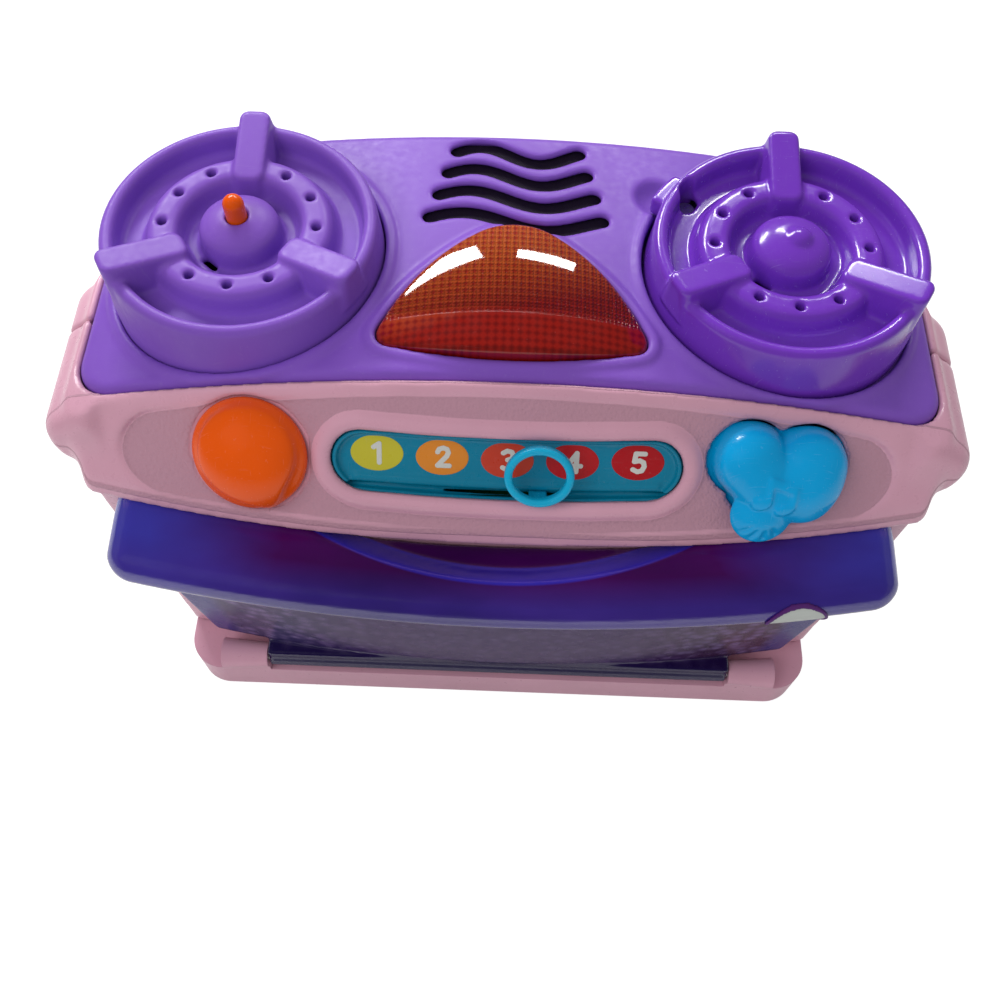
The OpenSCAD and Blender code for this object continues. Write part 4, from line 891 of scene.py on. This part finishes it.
def hat():
    """Press button: four puffs, a pleated band and a raised pair of notes, clear of the cooktop's skirt."""
    g = Grid((-23, -24, -10), (24, 18, 12), 0.4)
    f = None
    outline = None
    for cx, cy, r in PUFFS:
        rho = np.hypot(g.x - cx, g.y - cy)
        ball = np.sqrt(rho ** 2 + (g.z + 4.6) ** 2) - (r + 2.5)
        lobe = both(ball, rho - r, 3.0)
        smooth = 1.0 if cy > 0 else 4.0
        f = lobe if f is None else either(f, lobe, smooth)
        outline = rho - r if outline is None else np.minimum(outline, rho - r)
    f = np.maximum(f, -5.2 - g.z)
    cx, cy, r = -3.6, -11.4, 11.6
    u, v = g.x - cx, g.y - cy
    rho = np.hypot(u, v)
    band = both(both(np.sqrt(rho ** 2 + (g.z + 6.4) ** 2) - (r + 3), rho - r, 2.2), 3.2 - g.z, 0.8)
    angle = np.arctan2(v, u)
    reach = np.clip((rho - 4) / 1.5, 0, 1) * np.clip((9.4 - rho) / 1.6, 0, 1)
    reach = reach * np.clip((-angle - 0.55) / 0.3, 0, 1) * np.clip((angle + 2.6) / 0.3, 0, 1)
    band = band + reach * 0.9 * np.clip(np.cos(angle * 13) + 0.2, 0, 1)
    f = either(f, band, 0.4)
    heads = np.minimum(oval(*turn(g.x + 6.1, g.y + 6.3, 25), 3.0, 2.2),
                       oval(*turn(g.x - 1.0, g.y + 8.2, 25), 2.8, 2.1))
    stems = np.minimum(trail(g.x, g.y, [(-4.2, 2.2), (-3.9, -5.6)]),
                       trail(g.x, g.y, [(3.4, -0.8), (3.4, -7.6)])) - 0.75
    beam = polygon(g.x, g.y, [(-4.9, 3.2), (4.1, -0.2), (4.1, -3.4), (-4.9, -0.2)])
    note = np.minimum(np.minimum(heads, stems), beam)
    f = np.minimum(f, both(f - 1.3, np.maximum(note, 4 - g.z), 0.35))
    flange = both(outline - 1.9, slab(g.z, -5.1, -3.2))
    f = np.minimum(f, flange)
    f = np.minimum(f, both(np.hypot(g.x, g.y) - 3, slab(g.z, -9.4, -4.5)))
    place = spot(HAT_X, LINE)
    across, up, out, start = place[1]
    f = np.maximum(f, across * g.x + up * g.y + out * g.z + start / MM + 27.2)
    skin(g, soften(f, g.step, 0.4), "hat_top", cyan, "hat", ("hat_button",), place)


def slider_ring():
    """Finger ring with the stem that runs through the tray's slit."""
    g = Grid((-11, -11, -9), (11, 11, 6), 0.3)
    around = oval(g.x, g.y, 9.3, 8.4)
    f = both(np.abs(around) - 1.25, slab(g.z, 0.9, 4.8), 1.0)
    stem = both(np.abs(g.x) - 3, np.maximum(slab(g.y, -9.1, -8.1), slab(g.z, -7.4, 2.4)), 0.3)
    f = either(f, stem, 0.6)
    place = FLAT @ shift(9.8, -LINE - 1.1, 0)
    skin(g, soften(f, g.step, 0.3), "ring_loop", ring, "slider", ("slider_ring",), place)


def number_tray():
    """Sunk tray that follows the bowed slot, with its flange, slit and rails."""
    g = Grid((-58, -14, -12), (58, 14, -1), 0.45)
    bowed = np.hypot(g.x, g.z + FACE_R) - FACE_R
    v = g.y + sag(g.x)
    flange = both(stadium(g.x, g.y, 57.4, 13.6), slab(bowed, -4.6, -2.8), 0.4)
    f = np.minimum(flange, both(stadium(g.x, v, 53.2, 9.6), slab(g.z, -7, -2.6), 0.5))
    f = either(f, both(stadium(g.x, g.y, 55.4, 11.6), slab(g.z, -7, -5)), 0.3)
    f = without(f, both(stadium(g.x, v + 0.1, 51.8, 8.7), -5 - g.z, 1.4), 0.6)
    ledge = np.hypot(np.maximum(np.abs(g.x) - 46, 0), np.hypot(v + 6.2, (g.z + 5.4) * 1.1)) - 1.6
    f = either(f, ledge, 1.0)
    f = without(f, np.maximum(stadium(g.x, v + 8.7, 49.5, 1.0), -20 - g.z), 0.2)
    for v in (-10.4, 6.8):
        f = np.minimum(f, np.maximum(np.maximum(np.abs(g.x) - 52, slab(g.y, v, v + 1.6)), slab(g.z, -9.4, -6.4)))
    place = FLAT @ shift(0, -LINE, 0)
    skin(g, soften(f, g.step, 0.3), "tray_bed", tray, "housing", ("number_track",), place)


DIGITS = (
    [(-1.3, 1.9), (0.4, 3.1), (0.4, -3.1)],
    [(-1.7, 1.7), (-1.2, 2.7), (0, 3.1), (1.2, 2.7), (1.6, 1.6), (1.1, 0.4), (-1.7, -2.7), (1.9, -2.7)],
    [(-1.6, 2.4), (-0.4, 3.1), (1.0, 2.8), (1.5, 1.7), (1.0, 0.6), (-0.2, 0.2), (1.1, -0.2), (1.7, -1.5),
     (1.1, -2.7), (-0.3, -3.1), (-1.7, -2.4)],
    [(0.9, -3.1), (0.9, 3.0), (-1.9, -1.2), (2.2, -1.2)],
    [(1.7, 2.9), (-1.1, 2.9), (-1.4, 0.3), (0.2, 0.7), (1.4, 0.1), (1.7, -1.2), (1.1, -2.6), (-0.3, -3.0),
     (-1.7, -2.3)],
)
OVALS = ((-39.7, (196, 186, 50)), (-19.8, (222, 135, 42)), (0.1, (200, 62, 40)), (20.0, (185, 22, 30)),
         (39.9, (178, 10, 24)))


def numbers():
    """Five coloured ovals on the tray's bed, with a plain number on each."""
    for i, ((x, colour), strokes) in enumerate(zip(OVALS, DIGITS), 1):
        place = FLAT @ shift(x, -LINE + 2.0 - float(sag(x)), -5)
        g = Grid((-9, -7, -0.6), (9, 7, 0.6), 0.2)
        paint = plastic("print_%d" % i, srgb(*colour), 0.32, soft=0)
        plate = both(oval(g.x, g.y, 8.1, 5.9), slab(g.z, -0.4, 0.12), 0.1)
        skin(g, plate, "oval_%d" % i, paint, "housing", (), place)
        g = Grid((-4, -5, -0.4), (4, 5, 0.6), 0.12)
        line = trail(g.x - 0.3, g.y, strokes) - 0.8
        skin(g, both(line, slab(g.z, -0.2, 0.24), 0.1), "digit_%d" % i, chalk, "housing", (), place)


# ---------- door ----------

def bow_r(y):
    return BOW_Y - y


def door_profile(t):
    """Upright section of the door as (radius from the bow's centre, height), thinner by t."""
    return ([(622.4, 34 + t), (bow_r(-58.6) - t, 34 + t), (bow_r(-65.4) - t, 106 + t * 0.4),
             (bow_r(-66.2) - t, 114 + t)]
            + arc(bow_r(-70.2) - 2.0, 122.5, 7.0 - t, -105, -35, 6)
            + arc(bow_r(-72.8), 130.4, 7.2 - t, -25, 78, 9)
            + [(bow_r(-60) - t, 139 - t), (622.4, 139 - t)])


def door_body(g, t):
    """The door's section carried round the bow, thinner by t."""
    return turned(g, 0, BOW_Y, 0, door_profile(t), 664, 618)


def door_side(g):
    """Half width of the door, which steps out to the handle bar."""
    rise = np.clip((g.z - 104) / 13, 0, 1)
    rise = rise * rise * (3 - 2 * rise)
    return np.abs(g.x) - (114 + 7.2 * np.minimum(g.z, 104) / 104 + 5.8 * rise)


def door():
    """Hollow moulding with its handle bar, finger scoop, hinge rod and the web that carries the rod."""
    g = Grid((-130, -85, 21), (130, -36, 141), 0.85)
    rho, side = bow(g), door_side(g)
    blunt = np.clip((g.z - 100) / 20, 0, 1) * 6 + 2.5
    outer = both(door_body(g, 0), side, blunt)
    inner = both(door_body(g, 2.9), side + 3.4, np.maximum(blunt - 1.0, 0.5))
    scoop = np.hypot(g.x, g.y + SCOOP_Y - SCOOP_R) + np.clip(139 - g.z, 0, 8) * 1.1 - SCOOP_R
    inner = without(inner, both(scoop - 2.5, 128.5 - g.z))
    f = without(outer, inner)
    f = without(f, both(scoop, 131 - g.z, 1.5), 1.2)
    f = without(f, rho - DOOR_R)
    around_rod, wide = np.hypot(g.y - ROD_Y, g.z - ROD_Z), np.abs(g.x) - 93.4
    rod = both(around_rod - 4, wide, 0.5)
    web = np.maximum(np.maximum(wide, np.maximum(slab(g.y, -58.4, -46), slab(g.z, 28.5, 34.5))), DOOR_R - rho)
    web = np.maximum(web, np.minimum(rho - 636, 30.4 - g.z))
    f = np.minimum(np.minimum(f, rod), web)
    f = without(f, np.maximum(around_rod - 2.06, 79.4 - np.abs(g.x)))
    panel = skin(g, soften(f, g.step, 0.5), "door_moulding", door_blue, "door", ("door_panel",))
    glaze(panel.data, 0.1105)


def glaze(mesh, top):
    """Gives the window's material to the door's faces below a height in metres."""
    mesh.materials.append(door_glass)
    points = np.empty(len(mesh.vertices) * 3, np.float32)
    mesh.vertices.foreach_get("co", points)
    corners = np.empty(len(mesh.loops), np.int32)
    mesh.loops.foreach_get("vertex_index", corners)
    tops = points.reshape(-1, 3)[corners.reshape(-1, 4), 2].max(axis=1)
    mesh.polygons.foreach_set("material_index", (tops < top).astype(np.int32))


def badge_plate():
    """Blank oval plate and its dark rim on the bar's nose."""
    g = Grid((70, -84, 112), (114, -60, 140), 0.4)
    body = door_body(g, 0)
    a = math.atan2(94, 656)                 # its place round the bow
    u = g.x * math.cos(a) + (g.y - BOW_Y) * math.sin(a)
    shape = oval(u, g.z - 129.0, 9.6, 6.9)
    f = both(both(shape, body - 0.55, 0.3), -body - 0.2)
    skin(g, np.maximum(f, g.y + 66), "badge_oval", badge, "door", ("door_badge",))
    rim = both(both(np.abs(shape + 0.1) - 0.55, body - 0.95, 0.3), -body)
    skin(g, np.maximum(rim, g.y + 66), "badge_rim", inner, "door", ())


# ---------- shells ----------

def body_mass(g):
    """The whole body without its grips, as one solid mass."""
    t = g.z / CREST
    plan = rounded_plan(g.x, g.y, 138, -58, 82, 24, 32)
    sides = (np.abs(g.x) - (128 + 4 * t + 7 * np.sin(math.pi / 2 * np.clip(t / 0.72, 0, 1) ** 2))) * 0.985
    back = (g.y - (82 - 6 * t ** 3)) * 0.99
    f = both(plan, sides, 8.0)
    f = both(f, back, 12.0)
    f = both(f, bow(g) - BOW_R, 4.0)
    return both(f, fascia(g), 4.5)


def under_cooktop(g):
    """Room that the cooktop and its skirt take up in the shells."""
    return np.maximum(rounded_plan(g.x, g.y, TOP + 0.2, -24.2, 75.2, 13.2, 31.2), -crown(g, 9.2))


def grip(g):
    """Side grips: a swelling on each flank."""
    x = np.abs(g.x)
    outline = [(100, 125), (132, 125)] + arc(134.6, 152.4, 12.6, -58, 30, 8) + [(131, 168), (100, 169)]
    front = polygon(x[:, 0, :], g.z[0], outline)
    return both(front[:, None, :], both(np.abs(g.y + 4) - 30, x - 147.2, 8.0), 6.0)


def shells():
    """Front and rear halves of the body: walls, openings and screw bosses."""
    halves = (("front", (-149, -60, 18), (149, 8, 186), 1), ("rear", (-149, 4, 18), (149, 84, 186), -1))
    for name, low, high, keep in halves:
        g = Grid(low, high, 0.95)
        mass = body_mass(g)
        rho, deep = bow(g), g.y + 28
        bay = np.maximum(both(g.z - 139.4, 630 - rho), deep)
        bay_in = np.maximum(both(g.z - 142, 630 - WALL - rho), deep)
        limit = fascia(g) - np.clip((np.abs(g.x) - 124) * 1.5, 0, 30)
        ears = both(grip(g), limit, 3.0)
        f = either(without(mass, bay, 1.2), ears, 5.0)
        room = np.minimum(both(mass + WALL, crown(g, 11.8), 1.0), np.maximum(ears + WALL, limit + WALL + 1))
        f = without(f, without(room, bay_in, 1.0))
        f = without(f, rounded_plan(g.x, g.y, 124, -17, 68, 6, 19))
        f = without(f, np.maximum(polygon(g.x, g.y, lens_outline(3.5)), 167 - g.z))
        f = without(f, np.maximum(under_cooktop(g), 120 - g.z), 0.5)
        f = without(f, -crown(g, 0.8), 0.8)
        f = without(f, g.z - RIM, 0.8)
        f = front_details(g, f) if keep > 0 else rear_details(g, f)
        f = np.maximum(f, keep * (g.y - SEAM) + 0.1)
        mat = pink_panel if keep > 0 else pink
        skin(g, soften(f, g.step, 0.45), name + "_moulding", mat, "housing", (name + "_shell",))


def front_details(g, f):
    """Fascia panel, tray bead, the openings of knob and hat, the oven's mouth, and bosses."""
    def track(x, v):
        return stadium(x, v + LINE + sag(x), 53.4, 9.9)

    def panel(x, v):
        crown_drop = CROWN_R - np.sqrt(CROWN_R ** 2 - x ** 2)
        upper = -5.0 - 0.95 * crown_drop
        lower = 4.6 - 42 / math.cos(TILT) + math.sin(TILT) * x ** 2 / (2 * BOW_R)
        mid, half = (upper + lower) / 2, (upper - lower) / 2
        flat = corner(np.abs(x) - 120 + 12, np.abs(v - mid) - half + 12, 12)
        return np.maximum(flat, 5.6 - track(x, v))
    face = fascia(g)
    f = without(f, both(on_slope(g, panel), -face - 0.9, 0.9), 0.5)
    ring_line = on_slope(g, track)
    f = either(f, np.maximum(np.hypot(ring_line - 2.8, (face + 1.6) * 1.1) - 2.7, -face - 2.4), 0.8)
    f = without(f, ring_line, 0.8)
    u, v, w = seen_from(g, spot(KNOB_X, LINE))
    well = both(np.maximum(np.hypot(u, v) - 21, fascia(g, 2)), -5 - w)
    well = without(well, under_cooktop(g))
    f = np.minimum(f, well)
    f = without(f, np.maximum(np.hypot(u, v) - 18.45, -2 - w), 0.5)
    f = without(f, np.maximum(np.hypot(u, v) - 3.06, -12 - w))
    u, v, w = seen_from(g, spot(HAT_X, LINE))
    cut = np.minimum.reduce([np.hypot(u - cx, v - cy) - r - 0.5 for cx, cy, r in PUFFS])
    f = without(f, np.maximum(cut, np.abs(w) - 20), 0.5)
    f = without(f, np.maximum(box3(g.x, g.z - 81, 0, (104, 39, 100), 5.0), g.y + 10), 0.6)
    return bosses(g, f, ((-112, -36), (112, -36)), -1)


def rear_details(g, f):
    """Bosses, and the sunk place of the power switch with its slit."""
    f = bosses(g, f, ((-108, 60), (108, 60)), 1)
    x, z = np.abs(g.x), np.abs(g.z - 150)
    block = np.maximum(np.maximum(x - 18, z - 11), np.maximum(60 - g.y, body_mass(g) + 1))
    f = np.minimum(f, block)
    floor_y = 82 - 6 * (150 / CREST) ** 3 - 3.4
    f = without(f, np.maximum(box3(g.x, g.z - 150, 0, (13, 6, 50), 1.0), floor_y - g.y), 0.5)
    f = without(f, np.maximum(np.maximum(x - 8, z - 3), floor_y - 10 - g.y))
    return without(f, np.maximum(np.maximum(x - 14, z - 8), np.maximum(40 - g.y, g.y - floor_y + 2.6)))


def bosses(g, f, feet, side):
    """Screw bosses of one shell: two that stand on the base, four along the seam."""
    inside = body_mass(g) + 1
    for x, y in feet:
        web = np.maximum(np.abs(g.y - y) - 1.2, np.abs(np.abs(g.x) - abs(x) - 12) - 12)
        post = np.minimum(disc(g.x, g.y, x, y, 4), web)
        f = np.minimum(f, np.maximum(np.maximum(post, slab(g.z, RIM, RIM + 16)), inside))
        f = without(f, np.maximum(disc(g.x, g.y, x, y, 1.7), g.z - 34))
    for z in (46, 112):
        rho = np.hypot(np.abs(g.x) - 119, g.z - z)
        reach = slab(g.y, -10, 5.9) if side < 0 else slab(g.y, 6.1, 90)
        web = np.maximum(np.abs(g.z - z) - 1.2, 119 - np.abs(g.x))
        f = np.minimum(f, np.maximum(np.maximum(np.minimum(rho - (4 if side < 0 else 5), web), reach), inside))
        f = without(f, np.maximum(rho - (1.7 if side < 0 else 1.9), np.abs(g.y) - (8 if side < 0 else 40)))
        if side > 0:
            f = without(f, np.maximum(rho - 3.2, 12 - g.y), 0.3)
    return f


shells()
door()
badge_plate()
cooktop()
grille_cloth()
left_burner()
right_burner()
lens()
knob()
hat()
slider_ring()
number_tray()
numbers()

for part in frame["record"]["subparts"]:
    mesh = frame["nodes"][part["node"]].data
    mesh.materials.clear()
    mesh.materials.append(FINISH[part["material_slot"]])
